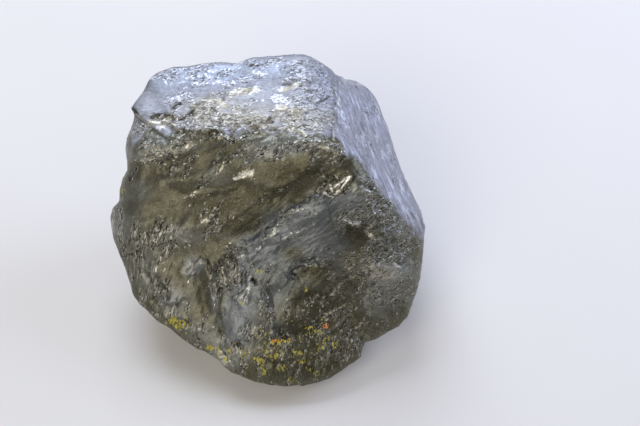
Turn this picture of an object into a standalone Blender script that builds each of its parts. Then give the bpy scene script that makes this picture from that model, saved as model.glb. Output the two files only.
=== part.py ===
"""Graphite hand specimen: one broken lump of massive, foliated graphite.

Metres, +Z up.  The lump rests on its flat underside, with the origin at the
middle of its box, on the floor.  Its front, the broad sloping cleavage face,
looks towards -Y; the bright bevelled top band is behind and above it; the
steep striated face is on the +X side.

How the shape is made
 1. The corners of the lump are set out on a leaning drawing plane, seen from
    a sighting point, each with its height above the floor.  See place().
 2. Their convex hull gives the big cleavage planes.  See cleavage_planes().
 3. A fine ball is drawn in to those planes, with edges worn a little round.
 4. The outline is drawn in to the true, partly hollow one (notches at the foot,
    saddle between the top band and the side face).  See trim_outline().
 5. Named hollows, ridges and ledges are worked into the front, and gentle
    unevenness over the whole.  See relief().
 6. The mesh is thinned and the foot is cut off flat at floor level.
"""
import math

import bpy
import bmesh
import numpy as np
from mathutils import Vector

MM = 0.001                     # the tables below are in millimetres

# ---- driving dimensions -------------------------------------------------------
BALL_LEVEL = 7                 # subdivisions of the starting ball
TRIANGLES = 11000               # triangles aimed at in thinning
EDGE_WEAR = 0.9                # how far the cleavage edges are worn round
HEART = (0.0, 0.0, 25.0)       # middle of the starting ball

PLANE_LEAN = 55.0              # degrees the setting-out plane leans back from upright
PLANE_MIDDLE = (0.0, 0.0, 27.0)
SIGHT_ACROSS, SIGHT_UP, SIGHT_BACK = 13.3, 2.3, 273.0   # sighting point, from the plane's middle

UNEVEN_WIDE = (17.0, 0.7)      # size and height of the broad swells
UNEVEN_NEAR = (7.0, 0.5)       # size and height of the smaller lumps
UNEVEN_REAR = 1.2              # how much rougher the rear is
GRAIN = (12.0, 2.8, 0.45)      # length, width and height of the foliation ribs
GRAIN_SLOPES = (32.0, 66.0, 6.0, 112.0)   # degrees they rise: front, foot, top band, side
WANDER = (6.0, 1.3)            # size and amount of the wander of the relief lines

# ---- outline of the lump on the drawing plane: across, up, height above floor ---
OUTLINE = [
    (-35, 29, 44.3), (-34, 30.9, 45), (-31.8, 33.5, 45.6), (-29.9, 36.4, 46.2),
    (-27.6, 38.3, 46.5), (-23.8, 39.4, 47), (-20, 39.7, 47.5), (-16.8, 40.3, 48),
    (-12.3, 40.6, 48.5), (-8.4, 40.6, 49), (-6.5, 41.1, 49.5), (-4, 42.1, 50),
    (-0.8, 42.3, 50.5), (3.1, 42.5, 51), (5.6, 42.6, 51.5), (8.8, 42.9, 52), (11.1, 42.6, 52),
    (13, 41.5, 51.5), (15.2, 39.6, 49.5), (17.5, 37.6, 47.5), (19.7, 36.7, 45.5),
    (22.9, 36.4, 43.5), (25.2, 35.1, 41.5), (26.8, 33.2, 39.5), (28, 31.2, 38),
    (29.3, 28, 36.5), (30.9, 24.2, 35), (31.6, 21, 34), (32.8, 17.2, 32), (34.4, 13.3, 30),
    (36, 10.1, 28.5), (37.6, 6.9, 27), (39.6, 2.4, 25), (40.1, -0.8, 23.5), (39.9, -4.6, 21.5),
    (39.6, -9.7, 18.5), (39.2, -14.8, 16), (38.3, -18.7, 14.5), (37, -21.9, 13),
    (36, -24.4, 12), (33.8, -27, 11), (31.2, -28, 10.5), (28, -29.6, 9.5), (24.8, -30.5, 8.5),
    (24.2, -32.8, 8), (24.2, -34.4, 7.5), (22.3, -36, 7), (19.7, -37.2, 6.5), (15.9, -39.5, 6),
    (12.7, -40.8, 5.5), (8.8, -41.7, 5.5), (5, -42.2, 5.5), (1.2, -42.1, 6), (-2, -41.4, 6.5),
    (-5.9, -40.1, 7), (-9.1, -38.5, 7.5), (-10.7, -36.6, 8), (-12.3, -34.7, 8.5),
    (-14.2, -33.4, 9), (-15.8, -32.5, 9), (-18.7, -31.8, 9.5), (-21.2, -30.5, 10),
    (-24.4, -27.6, 11), (-27.6, -25.7, 12), (-30.2, -23.8, 13), (-32.8, -21.2, 14),
    (-34.4, -18.7, 15), (-35.6, -15.5, 16), (-36.6, -11.6, 17), (-38.2, -8.4, 18.5),
    (-39.5, -4.6, 20), (-39.9, -0.8, 22), (-39.9, 1.8, 24), (-39.2, 4, 26.5), (-38, 5.6, 29),
    (-37.9, 8.2, 32), (-37.2, 10.8, 35), (-36, 13.3, 38), (-35.6, 15.9, 40.5),
    (-36, 19.1, 42.5), (-35.3, 22.3, 44.2), (-34.4, 25.5, 44.6), (-34, 27.7, 44.6),
]
OUTLINE_HUB = (1.0, 0.5)       # the outline is swept round this point

# crest between the top band and the front, then down the ridge of the side face
CREST = [
    (-34.3, 21.2, 45.1), (-29.7, 23, 47), (-20, 23.3, 49), (-9.7, 23.3, 51.5),
    (1.8, 23.8, 53.5), (10, 23, 55), (16.1, 22, 56), (17.2, 33.8, 52.5), (21.5, 16.6, 52.5),
    (27.4, 11.3, 47.5), (32, 2.8, 39.5), (37.6, -2.6, 29),
]
# ridge that bounds the steep side face, from low to high
SIDE_RIDGE = [(44, -9.7), (37.6, -2.6), (32, 2.8), (27.4, 11.3), (21.5, 16.6), (17.2, 22.5),
              (17.2, 33.8), (14.8, 39.9), (12.8, 44)]
# foot of the lump, x and y, at FOOT_Z
FOOT = [(-22, -13), (-25, -2), (-20, 12), (-7, 20), (11, 21), (24, 14), (27, -2), (23, -16),
        (13, -25), (2, -27), (-9, -24), (-17, -19)]
FOOT_Z = -2.0
# corners of the rear, x, y and z
REAR = [(-30, 22, 26), (-20, 31, 30), (0, 34, 32), (16, 33, 30), (30, 26, 20), (37, 12, 22),
        (-20, 26, 12), (10, 31, 12), (30, 20, 9), (-37, 4, 18), (38, -4, 12), (-33, -6, 8)]

# ---- relief of the front: line on the drawing plane, rise, reach left, reach right, edge ---
# Edge 0 is a round swell (or hollow, if the rise is negative) along the line.  Any other edge
# is a step: high on the left of the line and low on the right, over that width.
RELIEF = {
    "crest hollow": ([(-35.3, 12), (-31.5, 15.2), (-24.4, 17.8), (-21.9, 21.6), (-16.8, 22.3),
        (-9.2, 21.5)], 0.9, 3.2, 4.5, 1.3),
    "left band": ([(-27, 9.7), (-20, 10.8), (-12.3, 12.7), (-5.4, 14.8)], 0.7, 2.2, 2.2, 0),
    "hollow under the left band": ([(-21.2, 6.7), (-12.3, 8.2), (-7.2, 9.7)], -0.6, 1.8, 1.8, 0),
    "shoulder edge": ([(-1.4, 5.6), (5.6, 9.5), (10.1, 12.7), (11.4, 15.9), (16.4, 18.7)
        ], 1.5, 5.5, 4.5, 1.4),
    "ridge edge": ([(-9.7, -7.8), (-4.6, -4.1), (-0.1, -2.3), (3.7, 0.5), (5, 3.1), (9.5, 4.4),
        (14, 7.6), (18.4, 8.2)], -1.5, 4.5, 5.5, 1.2),
    "pit edge": ([(5.4, -14.1), (7.4, -11.8), (10.8, -10.4), (14.1, -9.5)], 1.0, 2.4, 2.4, 0.8),
    "pit": ([(7.9, -12.8), (12, -10.5)], -0.9, 1.7, 1.9, 0),
    "right hollow edge": ([(18.7, -0.8), (22.3, -0.8), (26.6, 0.8), (30.7, 2)
        ], 1.0, 2.4, 3.6, 0.9),
    "lower left band": ([(-34, -4.6), (-26.4, -4), (-18.7, -2), (-11, 0.5)], 0.7, 2.6, 2.6, 0),
    "upper right hollow": ([(12, 17.2), (16.6, 12.5), (21, 13.3)], -1.2, 2.6, 2.6, 0),
    "knuckle": ([(22.5, 7.2), (24.6, 8.2)], 1.1, 2.2, 2.2, 0),
    "hollow by the knuckle": ([(26.6, 8.4), (28.7, 4.9)], -0.9, 1.6, 1.6, 0),
    "swell, low right": ([(27.1, -11.8), (34.3, -12.3)], 1.3, 3.2, 3.2, 0),
    "trough, low right": ([(18.4, -9.7), (25.1, -17.4)], -1.0, 2.6, 2.6, 0),
    "trough, low middle": ([(8.2, -21.5), (13.8, -19.2), (21, -14.6)], -0.7, 2.6, 3.2, 0),
    "swell over the foot": ([(5.1, -25.6), (11.3, -22), (15.9, -20.7)], 0.5, 2.6, 2.6, 0),
    "trough at the foot": ([(3.8, -30.5), (7.2, -27.9), (12.8, -25.3)], -0.5, 2.4, 2.4, 0),
    "slab, low middle": ([(-4.9, -16.9), (-6.1, -27.6)], 1.0, 4.0, 4.0, 0),
    "slab edge": ([(3.3, -29.4), (0.5, -22.5), (-0.8, -16.1)], 0.7, 3.0, 3.4, 1.4),
    "finger groove": ([(-18.2, -12.8), (-16.9, -17.4), (-15.6, -23.3)], -1.2, 1.5, 1.5, 0),
    "finger rim": ([(-21.5, -12.5), (-18.2, -10.5), (-15.4, -11.3)], 0.9, 1.2, 1.2, 0),
    "finger strip": ([(-14.6, -12.8), (-13.8, -21.2)], 0.9, 1.1, 1.1, 0),
    "cleft to the foot": ([(-12.5, -12.8), (-13.3, -21.2), (-11.8, -28.9), (-10.8, -34.3)
        ], -1.1, 1.2, 1.2, 0),
    "crack at the left": ([(-37.9, -8.7), (-32.8, -8.2), (-29.7, -10)], -0.7, 1.0, 1.0, 0),
}

# ---- frame of the drawing plane --------------------------------------------------
LEAN = math.radians(PLANE_LEAN)
ACROSS = np.array([1.0, 0.0, 0.0])
UP = np.array([0.0, math.sin(LEAN), math.cos(LEAN)])
OUT = np.array([0.0, -math.cos(LEAN), math.sin(LEAN)])
MIDDLE = np.array(PLANE_MIDDLE)
SIGHT = MIDDLE + SIGHT_ACROSS * ACROSS + SIGHT_UP * UP + SIGHT_BACK * OUT
CENTRE = np.array(HEART)


def place(across, up, height):
    """The point at this height that stands behind (across, up) of the drawing plane."""
    ray = MIDDLE + across * ACROSS + up * UP - SIGHT
    return SIGHT + ray * ((height - SIGHT[2]) / ray[2])


def on_plane(points):
    """Where points show on the drawing plane: across, up and the shrink from depth."""
    ray = points - SIGHT
    shrink = SIGHT_BACK / -(ray @ OUT)
    at = SIGHT + ray * shrink[:, None] - MIDDLE
    return at @ ACROSS, at @ UP, shrink


def ease(low, high, value):
    t = np.clip((value - low) / (high - low), 0.0, 1.0)
    return t * t * (3.0 - 2.0 * t)


# ---- unevenness --------------------------------------------------------------------
_rng = np.random.default_rng(7)
_PERM = np.concatenate([_rng.permutation(256)] * 2)
_LEAN = _rng.normal(size=(256, 3))
_LEAN /= np.linalg.norm(_LEAN, axis=1)[:, None]


def noise(points):
    """Smooth gradient noise, about -1 to 1."""
    cell = np.floor(points).astype(np.int64)
    f = points - cell
    cell &= 255
    w = f * f * f * (f * (f * 6.0 - 15.0) + 10.0)
    total = np.zeros(len(points))
    for dx in (0, 1):
        for dy in (0, 1):
            for dz in (0, 1):
                row = _PERM[(cell[:, 0] + dx) & 255]
                row = _PERM[(row + cell[:, 1] + dy) & 255]
                lean = _LEAN[_PERM[(row + cell[:, 2] + dz) & 255]]
                dot = (lean * (f - np.array((dx, dy, dz)))).sum(1)
                total += (dot * (w[:, 0] if dx else 1 - w[:, 0])
                          * (w[:, 1] if dy else 1 - w[:, 1]) * (w[:, 2] if dz else 1 - w[:, 2]))
    return total * 1.7


def layered(points, layers):
    """Noise in halving sizes and heights."""
    total, height, full = np.zeros(len(points)), 1.0, 0.0
    for k in range(layers):
        total += height * noise(points * 2.0 ** k + 17.3 * k)
        full += height
        height *= 0.5
    return total / full * 1.4


# ---- steps -----------------------------------------------------------------------
def cleavage_planes():
    """Normals and offsets of the planes of the corners' convex hull."""
    bm = bmesh.new()
    for corner in OUTLINE + CREST:
        bm.verts.new(place(*corner))
    for x, y in FOOT:
        bm.verts.new((x, y, FOOT_Z))
    for corner in REAR:
        bm.verts.new(corner)
    hull = bmesh.ops.convex_hull(bm, input=bm.verts)
    loose = {g for g in hull["geom_interior"] + hull["geom_unused"]
             if isinstance(g, bmesh.types.BMVert)}
    bmesh.ops.delete(bm, geom=list(loose), context="VERTS")
    bmesh.ops.dissolve_limit(bm, angle_limit=math.radians(2.5), verts=bm.verts, edges=bm.edges)
    bmesh.ops.recalc_face_normals(bm, faces=bm.faces)
    normals = np.array([f.normal[:] for f in bm.faces])
    offsets = np.array([f.normal.dot(f.calc_center_median()) for f in bm.faces])
    bm.free()
    return normals, offsets


def draw_in(ways, normals, offsets):
    """Pull the ball in to the planes along each way out from the centre."""
    toward = ways @ normals.T
    reach = np.where(toward > 1e-4, (offsets - normals @ CENTRE) / np.maximum(toward, 1e-4), 1e3)
    nearest = reach.min(1)
    share = np.exp(-(np.minimum(reach, 1e3) - nearest[:, None]) / EDGE_WEAR)
    radius = nearest - EDGE_WEAR * np.log(share.sum(1))
    facing = share @ normals
    facing /= np.linalg.norm(facing, axis=1)[:, None]
    return CENTRE + ways * radius[:, None], facing


def trim_outline(points, sectors=360):
    """Slide points square to the line of sight until the outline falls on OUTLINE."""
    across, up, shrink = on_plane(points)
    dx, dy = across - OUTLINE_HUB[0], up - OUTLINE_HUB[1]
    turn, out = np.arctan2(dy, dx), np.hypot(dx, dy)
    sector = ((turn + math.pi) / (2 * math.pi) * sectors).astype(int) % sectors
    now = np.zeros(sectors)
    np.maximum.at(now, sector, out)
    now = (now + np.roll(now, 1) + np.roll(now, -1)) / 3.0
    middle = (np.arange(sectors) + 0.5) / sectors * 2 * math.pi - math.pi

    line = np.array([(a, b) for a, b, _ in OUTLINE]) - np.array(OUTLINE_HUB)
    step = np.linspace(0.0, 1.0, 40, endpoint=False)[None, :, None]
    line = (line[:, None] + (np.roll(line, -1, 0) - line)[:, None] * step).reshape(-1, 2)
    line_turn = np.arctan2(line[:, 1], line[:, 0])
    order = np.argsort(line_turn)
    wanted = np.interp(middle, line_turn[order], np.hypot(line[:, 0], line[:, 1])[order],
                       period=2 * math.pi)

    grow = np.interp(turn, middle, wanted / now, period=2 * math.pi) - 1.0
    rim = np.interp(turn, middle, now, period=2 * math.pi)
    grow *= ease(0.45, 1.0, out / rim) ** 1.5
    return points + (dx * grow / shrink)[:, None] * ACROSS + (dy * grow / shrink)[:, None] * UP


def zones(across, up):
    """Shares of the top band, the steep side face and the front."""
    crest = np.array([(a, b) for a, b, _ in CREST[:7]])
    ridge = np.array([(a, b) for a, b in SIDE_RIDGE])
    side_face = ease(-0.7, 0.7, across - np.interp(up, ridge[:, 1], ridge[:, 0]))
    top = ease(-0.9, 0.9, up - np.interp(across, crest[:, 0], crest[:, 1])) * (1 - side_face)
    return top, side_face, (1 - top) * (1 - side_face)


def from_line(across, up, line):
    """Distance from a line of points, which side (+1 left, -1 right) and how far along (0 to 1)."""
    line = np.asarray(line, float)
    lengths = np.hypot(*(line[1:] - line[:-1]).T)
    start = np.concatenate([[0.0], np.cumsum(lengths)])
    best = np.full(len(across), 1e9)
    side, along = np.zeros(len(across)), np.zeros(len(across))
    for k, (a, b) in enumerate(zip(line[:-1], line[1:])):
        run = b - a
        t = np.clip(((across - a[0]) * run[0] + (up - a[1]) * run[1]) / (run @ run), 0, 1)
        far = np.hypot(across - a[0] - t * run[0], up - a[1] - t * run[1])
        nearer = far < best
        side = np.where(nearer, np.sign(run[0] * (up - a[1]) - run[1] * (across - a[0])), side)
        along = np.where(nearer, (start[k] + t * lengths[k]) / start[-1], along)
        best = np.minimum(best, far)
    return best, side, along


def relief(points, facing):
    """Height of the named hollows and ridges, the ribs and the unevenness at each point."""
    across, up, _ = on_plane(points)
    sight = SIGHT - points
    sight /= np.linalg.norm(sight, axis=1)[:, None]
    seen = (facing * sight).sum(1)
    shown = ease(0.02, 0.25, seen)
    rear = 1.0 - ease(-0.15, 0.15, seen)

    size, amount = WANDER
    a = across + amount * noise(points / size + 40.0)
    b = up + amount * noise(points / size + 80.0)
    height = np.zeros(len(points))
    patchy = 1.0 + 0.35 * noise(points / 9.0 + 60.0)
    for line, rise, left, right, edge in RELIEF.values():
        far, side, along = from_line(a, b, line)
        fade = np.exp(-(far / np.where(side > 0, left, right)) ** 2)
        if edge:
            fade *= np.tanh(side * far / edge) * ease(0, 0.2, along) * ease(0, 0.2, 1 - along)
        height += rise * fade * patchy * shown

    top, side_face, front = zones(across, up)
    length, width, rise = GRAIN
    for zone, slope, amount in ((front * ease(-30, 0, up), GRAIN_SLOPES[0], 1.0),
                                (front * (1 - ease(-30, 0, up)), GRAIN_SLOPES[1], 1.0),
                                (top, GRAIN_SLOPES[2], 0.8), (side_face, GRAIN_SLOPES[3], 0.8)):
        turn = math.radians(slope)
        along = across * math.cos(turn) + up * math.sin(turn)
        over = up * math.cos(turn) - across * math.sin(turn)
        ribs = np.stack([along / length, over / width, points[:, 2] / 20.0], 1)
        height += rise * amount * layered(ribs, 2) * zone * shown

    size, rise = UNEVEN_WIDE
    height += rise * layered(points / size + 3.1, 2)
    size, rise = UNEVEN_NEAR
    height += rise * layered(points / size + 9.7, 2) * (0.45 + (UNEVEN_REAR - 0.45) * rear)
    return height


def ball(level):
    bm = bmesh.new()
    bmesh.ops.create_icosphere(bm, subdivisions=level, radius=1.0)
    return bm


def build_lump(collection, material):
    bm = ball(BALL_LEVEL)
    ways = np.array([v.co[:] for v in bm.verts])
    ways /= np.linalg.norm(ways, axis=1)[:, None]
    points, facing = draw_in(ways, *cleavage_planes())
    points = trim_outline(points)
    points += facing * relief(points, facing)[:, None]
    for vert, point in zip(bm.verts, points):
        vert.co = Vector(point) * MM

    rough = bpy.data.meshes.new("graphite_lump")
    bm.to_mesh(rough)
    full = len(bm.faces)
    bm.free()
    lump = bpy.data.objects.new("graphite_lump", rough)
    collection.objects.link(lump)

    # thin the mesh, keeping more triangles where the surface bends
    thin = lump.modifiers.new("thin", "DECIMATE")
    thin.ratio = TRIANGLES / full
    shape = bpy.data.meshes.new_from_object(
        lump.evaluated_get(bpy.context.evaluated_depsgraph_get()))
    lump.modifiers.clear()

    # cut the foot off flat at floor level and close it
    bm = bmesh.new()
    bm.from_mesh(shape)
    for vert in bm.verts:
        if abs(vert.co.z) < 0.35 * MM:
            vert.co.z = 0.0
    bmesh.ops.bisect_plane(bm, geom=bm.verts[:] + bm.edges[:] + bm.faces[:], dist=1e-7,
                           plane_co=(0, 0, 0), plane_no=(0, 0, -1), clear_outer=True)
    rim = [e for e in bm.edges if e.is_boundary]
    bmesh.ops.edgeloop_fill(bm, edges=rim)
    bmesh.ops.triangulate(bm, faces=[f for f in bm.faces if len(f.verts) > 3])
    bmesh.ops.recalc_face_normals(bm, faces=bm.faces)

    # origin at the middle of the box, on the floor
    box = np.array([v.co[:] for v in bm.verts])
    middle = (box.min(0) + box.max(0)) / 2.0
    bmesh.ops.translate(bm, verts=bm.verts, vec=(-middle[0], -middle[1], 0.0))
    bm.to_mesh(shape)
    bm.free()

    lump.data = shape
    bpy.data.meshes.remove(rough)
    shape.name = "graphite_lump"
    shape.materials.append(material)
    for face in shape.polygons:
        face.use_smooth = False
    return lump


def graphite():
    material = bpy.data.materials.new("graphite")
    material.use_nodes = True
    bsdf = material.node_tree.nodes["Principled BSDF"]
    bsdf.inputs["Base Color"].default_value = (0.17, 0.165, 0.15, 1.0)
    bsdf.inputs["Roughness"].default_value = 0.48
    bsdf.inputs["Metallic"].default_value = 0.6
    return material


def main():
    for old in list(bpy.data.objects):
        bpy.data.objects.remove(old, do_unlink=True)
    collection = bpy.data.collections.new("graphite_specimen")
    bpy.context.scene.collection.children.link(collection)
    build_lump(collection, graphite())


main()
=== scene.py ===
"""Graphite hand specimen: the looks.

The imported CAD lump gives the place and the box.  The visible lump is modelled
again from the same corners, planes, outline and relief as the CAD, from a much
finer ball, and then gets what a faceted solid cannot carry: foliation ledges,
flaky chips, pits, folds and the small named pockets and glint ledges.
Lengths in the tables are in millimetres.
"""
import math

import bpy
import bmesh
import numpy as np
from mathutils import Matrix, Vector


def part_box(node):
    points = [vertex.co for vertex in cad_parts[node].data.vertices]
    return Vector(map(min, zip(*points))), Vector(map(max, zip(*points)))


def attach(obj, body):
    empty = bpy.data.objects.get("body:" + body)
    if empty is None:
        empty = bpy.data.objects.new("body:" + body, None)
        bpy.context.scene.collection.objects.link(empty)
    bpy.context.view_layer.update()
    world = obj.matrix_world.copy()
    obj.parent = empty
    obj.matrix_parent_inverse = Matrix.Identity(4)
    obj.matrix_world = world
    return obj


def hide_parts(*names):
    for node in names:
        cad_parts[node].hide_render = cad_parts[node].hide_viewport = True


MM = 0.001
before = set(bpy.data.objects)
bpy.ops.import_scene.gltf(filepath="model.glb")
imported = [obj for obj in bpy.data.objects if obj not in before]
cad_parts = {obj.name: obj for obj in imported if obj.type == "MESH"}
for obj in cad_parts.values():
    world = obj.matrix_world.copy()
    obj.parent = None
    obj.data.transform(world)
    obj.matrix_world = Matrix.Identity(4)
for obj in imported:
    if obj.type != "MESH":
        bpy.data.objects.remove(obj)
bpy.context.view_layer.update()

# ================================================================ the CAD's own shape
EDGE_WEAR = 0.9                # how far the cleavage edges are worn round
HEART = (0.0, 0.0, 25.0)       # middle of the starting ball

PLANE_LEAN = 55.0              # degrees the setting-out plane leans back from upright
PLANE_MIDDLE = (0.0, 0.0, 27.0)
SIGHT_ACROSS, SIGHT_UP, SIGHT_BACK = 13.3, 2.3, 273.0   # sighting point, from the plane's middle

UNEVEN_WIDE = (17.0, 0.7)      # size and height of the broad swells
UNEVEN_NEAR = (7.0, 0.5)       # size and height of the smaller lumps
UNEVEN_REAR = 1.2              # how much rougher the rear is
GRAIN = (12.0, 2.8, 0.45)      # length, width and height of the foliation ribs
GRAIN_SLOPES = (32.0, 66.0, 6.0, 112.0)   # degrees they rise: front, foot, top band, side
WANDER = (6.0, 1.3)            # size and amount of the wander of the relief lines

# ---- outline of the lump on the drawing plane: across, up, height above floor ---
OUTLINE = [
    (-35, 29, 44.3), (-34, 30.9, 45), (-31.8, 33.5, 45.6), (-29.9, 36.4, 46.2),
    (-27.6, 38.3, 46.5), (-23.8, 39.4, 47), (-20, 39.7, 47.5), (-16.8, 40.3, 48),
    (-12.3, 40.6, 48.5), (-8.4, 40.6, 49), (-6.5, 41.1, 49.5), (-4, 42.1, 50),
    (-0.8, 42.3, 50.5), (3.1, 42.5, 51), (5.6, 42.6, 51.5), (8.8, 42.9, 52), (11.1, 42.6, 52),
    (13, 41.5, 51.5), (15.2, 39.6, 49.5), (17.5, 37.6, 47.5), (19.7, 36.7, 45.5),
    (22.9, 36.4, 43.5), (25.2, 35.1, 41.5), (26.8, 33.2, 39.5), (28, 31.2, 38),
    (29.3, 28, 36.5), (30.9, 24.2, 35), (31.6, 21, 34), (32.8, 17.2, 32), (34.4, 13.3, 30),
    (36, 10.1, 28.5), (37.6, 6.9, 27), (39.6, 2.4, 25), (40.1, -0.8, 23.5), (39.9, -4.6, 21.5),
    (39.6, -9.7, 18.5), (39.2, -14.8, 16), (38.3, -18.7, 14.5), (37, -21.9, 13),
    (36, -24.4, 12), (33.8, -27, 11), (31.2, -28, 10.5), (28, -29.6, 9.5), (24.8, -30.5, 8.5),
    (24.2, -32.8, 8), (24.2, -34.4, 7.5), (22.3, -36, 7), (19.7, -37.2, 6.5), (15.9, -39.5, 6),
    (12.7, -40.8, 5.5), (8.8, -41.7, 5.5), (5, -42.2, 5.5), (1.2, -42.1, 6), (-2, -41.4, 6.5),
    (-5.9, -40.1, 7), (-9.1, -38.5, 7.5), (-10.7, -36.6, 8), (-12.3, -34.7, 8.5),
    (-14.2, -33.4, 9), (-15.8, -32.5, 9), (-18.7, -31.8, 9.5), (-21.2, -30.5, 10),
    (-24.4, -27.6, 11), (-27.6, -25.7, 12), (-30.2, -23.8, 13), (-32.8, -21.2, 14),
    (-34.4, -18.7, 15), (-35.6, -15.5, 16), (-36.6, -11.6, 17), (-38.2, -8.4, 18.5),
    (-39.5, -4.6, 20), (-39.9, -0.8, 22), (-39.9, 1.8, 24), (-39.2, 4, 26.5), (-38, 5.6, 29),
    (-37.9, 8.2, 32), (-37.2, 10.8, 35), (-36, 13.3, 38), (-35.6, 15.9, 40.5),
    (-36, 19.1, 42.5), (-35.3, 22.3, 44.2), (-34.4, 25.5, 44.6), (-34, 27.7, 44.6),
]
OUTLINE_HUB = (1.0, 0.5)       # the outline is swept round this point

# crest between the top band and the front, then down the ridge of the side face
CREST = [
    (-34.3, 21.2, 45.1), (-29.7, 23, 47), (-20, 23.3, 49), (-9.7, 23.3, 51.5),
    (1.8, 23.8, 53.5), (10, 23, 55), (16.1, 22, 56), (17.2, 33.8, 52.5), (21.5, 16.6, 52.5),
    (27.4, 11.3, 47.5), (32, 2.8, 39.5), (37.6, -2.6, 29),
]
# ridge that bounds the steep side face, from low to high
SIDE_RIDGE = [(44, -9.7), (37.6, -2.6), (32, 2.8), (27.4, 11.3), (21.5, 16.6), (17.2, 22.5),
              (17.2, 33.8), (14.8, 39.9), (12.8, 44)]
# foot of the lump, x and y, at FOOT_Z
FOOT = [(-22, -13), (-25, -2), (-20, 12), (-7, 20), (11, 21), (24, 14), (27, -2), (23, -16),
        (13, -25), (2, -27), (-9, -24), (-17, -19)]
FOOT_Z = -2.0
# corners of the rear, x, y and z
REAR = [(-30, 22, 26), (-20, 31, 30), (0, 34, 32), (16, 33, 30), (30, 26, 20), (37, 12, 22),
        (-20, 26, 12), (10, 31, 12), (30, 20, 9), (-37, 4, 18), (38, -4, 12), (-33, -6, 8)]

# ---- relief of the front: line on the drawing plane, rise, reach left, reach right, edge ---
# Edge 0 is a round swell (or hollow, if the rise is negative) along the line.  Any other edge
# is a step: high on the left of the line and low on the right, over that width.
RELIEF = {
    "crest hollow": ([(-35.3, 12), (-31.5, 15.2), (-24.4, 17.8), (-21.9, 21.6), (-16.8, 22.3),
        (-9.2, 21.5)], 0.9, 3.2, 4.5, 1.3),
    "left band": ([(-27, 9.7), (-20, 10.8), (-12.3, 12.7), (-5.4, 14.8)], 0.7, 2.2, 2.2, 0),
    "hollow under the left band": ([(-21.2, 6.7), (-12.3, 8.2), (-7.2, 9.7)], -0.6, 1.8, 1.8, 0),
    "shoulder edge": ([(-1.4, 5.6), (5.6, 9.5), (10.1, 12.7), (11.4, 15.9), (16.4, 18.7)
        ], 1.5, 5.5, 4.5, 1.4),
    "ridge edge": ([(-9.7, -7.8), (-4.6, -4.1), (-0.1, -2.3), (3.7, 0.5), (5, 3.1), (9.5, 4.4),
        (14, 7.6), (18.4, 8.2)], -1.5, 4.5, 5.5, 1.2),
    "pit edge": ([(5.4, -14.1), (7.4, -11.8), (10.8, -10.4), (14.1, -9.5)], 1.0, 2.4, 2.4, 0.8),
    "pit": ([(7.9, -12.8), (12, -10.5)], -0.9, 1.7, 1.9, 0),
    "right hollow edge": ([(18.7, -0.8), (22.3, -0.8), (26.6, 0.8), (30.7, 2)
        ], 1.0, 2.4, 3.6, 0.9),
    "lower left band": ([(-34, -4.6), (-26.4, -4), (-18.7, -2), (-11, 0.5)], 0.7, 2.6, 2.6, 0),
    "upper right hollow": ([(12, 17.2), (16.6, 12.5), (21, 13.3)], -1.2, 2.6, 2.6, 0),
    "knuckle": ([(22.5, 7.2), (24.6, 8.2)], 1.1, 2.2, 2.2, 0),
    "hollow by the knuckle": ([(26.6, 8.4), (28.7, 4.9)], -0.9, 1.6, 1.6, 0),
    "swell, low right": ([(27.1, -11.8), (34.3, -12.3)], 1.3, 3.2, 3.2, 0),
    "trough, low right": ([(18.4, -9.7), (25.1, -17.4)], -1.0, 2.6, 2.6, 0),
    "trough, low middle": ([(8.2, -21.5), (13.8, -19.2), (21, -14.6)], -0.7, 2.6, 3.2, 0),
    "swell over the foot": ([(5.1, -25.6), (11.3, -22), (15.9, -20.7)], 0.5, 2.6, 2.6, 0),
    "trough at the foot": ([(3.8, -30.5), (7.2, -27.9), (12.8, -25.3)], -0.5, 2.4, 2.4, 0),
    "slab, low middle": ([(-4.9, -16.9), (-6.1, -27.6)], 1.0, 4.0, 4.0, 0),
    "slab edge": ([(3.3, -29.4), (0.5, -22.5), (-0.8, -16.1)], 0.7, 3.0, 3.4, 1.4),
    "finger groove": ([(-18.2, -12.8), (-16.9, -17.4), (-15.6, -23.3)], -1.2, 1.5, 1.5, 0),
    "finger rim": ([(-21.5, -12.5), (-18.2, -10.5), (-15.4, -11.3)], 0.9, 1.2, 1.2, 0),
    "finger strip": ([(-14.6, -12.8), (-13.8, -21.2)], 0.9, 1.1, 1.1, 0),
    "cleft to the foot": ([(-12.5, -12.8), (-13.3, -21.2), (-11.8, -28.9), (-10.8, -34.3)
        ], -1.1, 1.2, 1.2, 0),
    "crack at the left": ([(-37.9, -8.7), (-32.8, -8.2), (-29.7, -10)], -0.7, 1.0, 1.0, 0),
}

# ---- frame of the drawing plane --------------------------------------------------
LEAN = math.radians(PLANE_LEAN)
ACROSS = np.array([1.0, 0.0, 0.0])
UP = np.array([0.0, math.sin(LEAN), math.cos(LEAN)])
OUT = np.array([0.0, -math.cos(LEAN), math.sin(LEAN)])
MIDDLE = np.array(PLANE_MIDDLE)
SIGHT = MIDDLE + SIGHT_ACROSS * ACROSS + SIGHT_UP * UP + SIGHT_BACK * OUT
CENTRE = np.array(HEART)


def place(across, up, height):
    """The point at this height that stands behind (across, up) of the drawing plane."""
    ray = MIDDLE + across * ACROSS + up * UP - SIGHT
    return SIGHT + ray * ((height - SIGHT[2]) / ray[2])


def on_plane(points):
    """Where points show on the drawing plane: across, up and the shrink from depth."""
    ray = points - SIGHT
    shrink = SIGHT_BACK / -(ray @ OUT)
    at = SIGHT + ray * shrink[:, None] - MIDDLE
    return at @ ACROSS, at @ UP, shrink


def ease(low, high, value):
    t = np.clip((value - low) / (high - low), 0.0, 1.0)
    return t * t * (3.0 - 2.0 * t)


# ---- unevenness --------------------------------------------------------------------
_rng = np.random.default_rng(7)
_PERM = np.concatenate([_rng.permutation(256)] * 2)
_LEAN = _rng.normal(size=(256, 3))
_LEAN /= np.linalg.norm(_LEAN, axis=1)[:, None]


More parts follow.
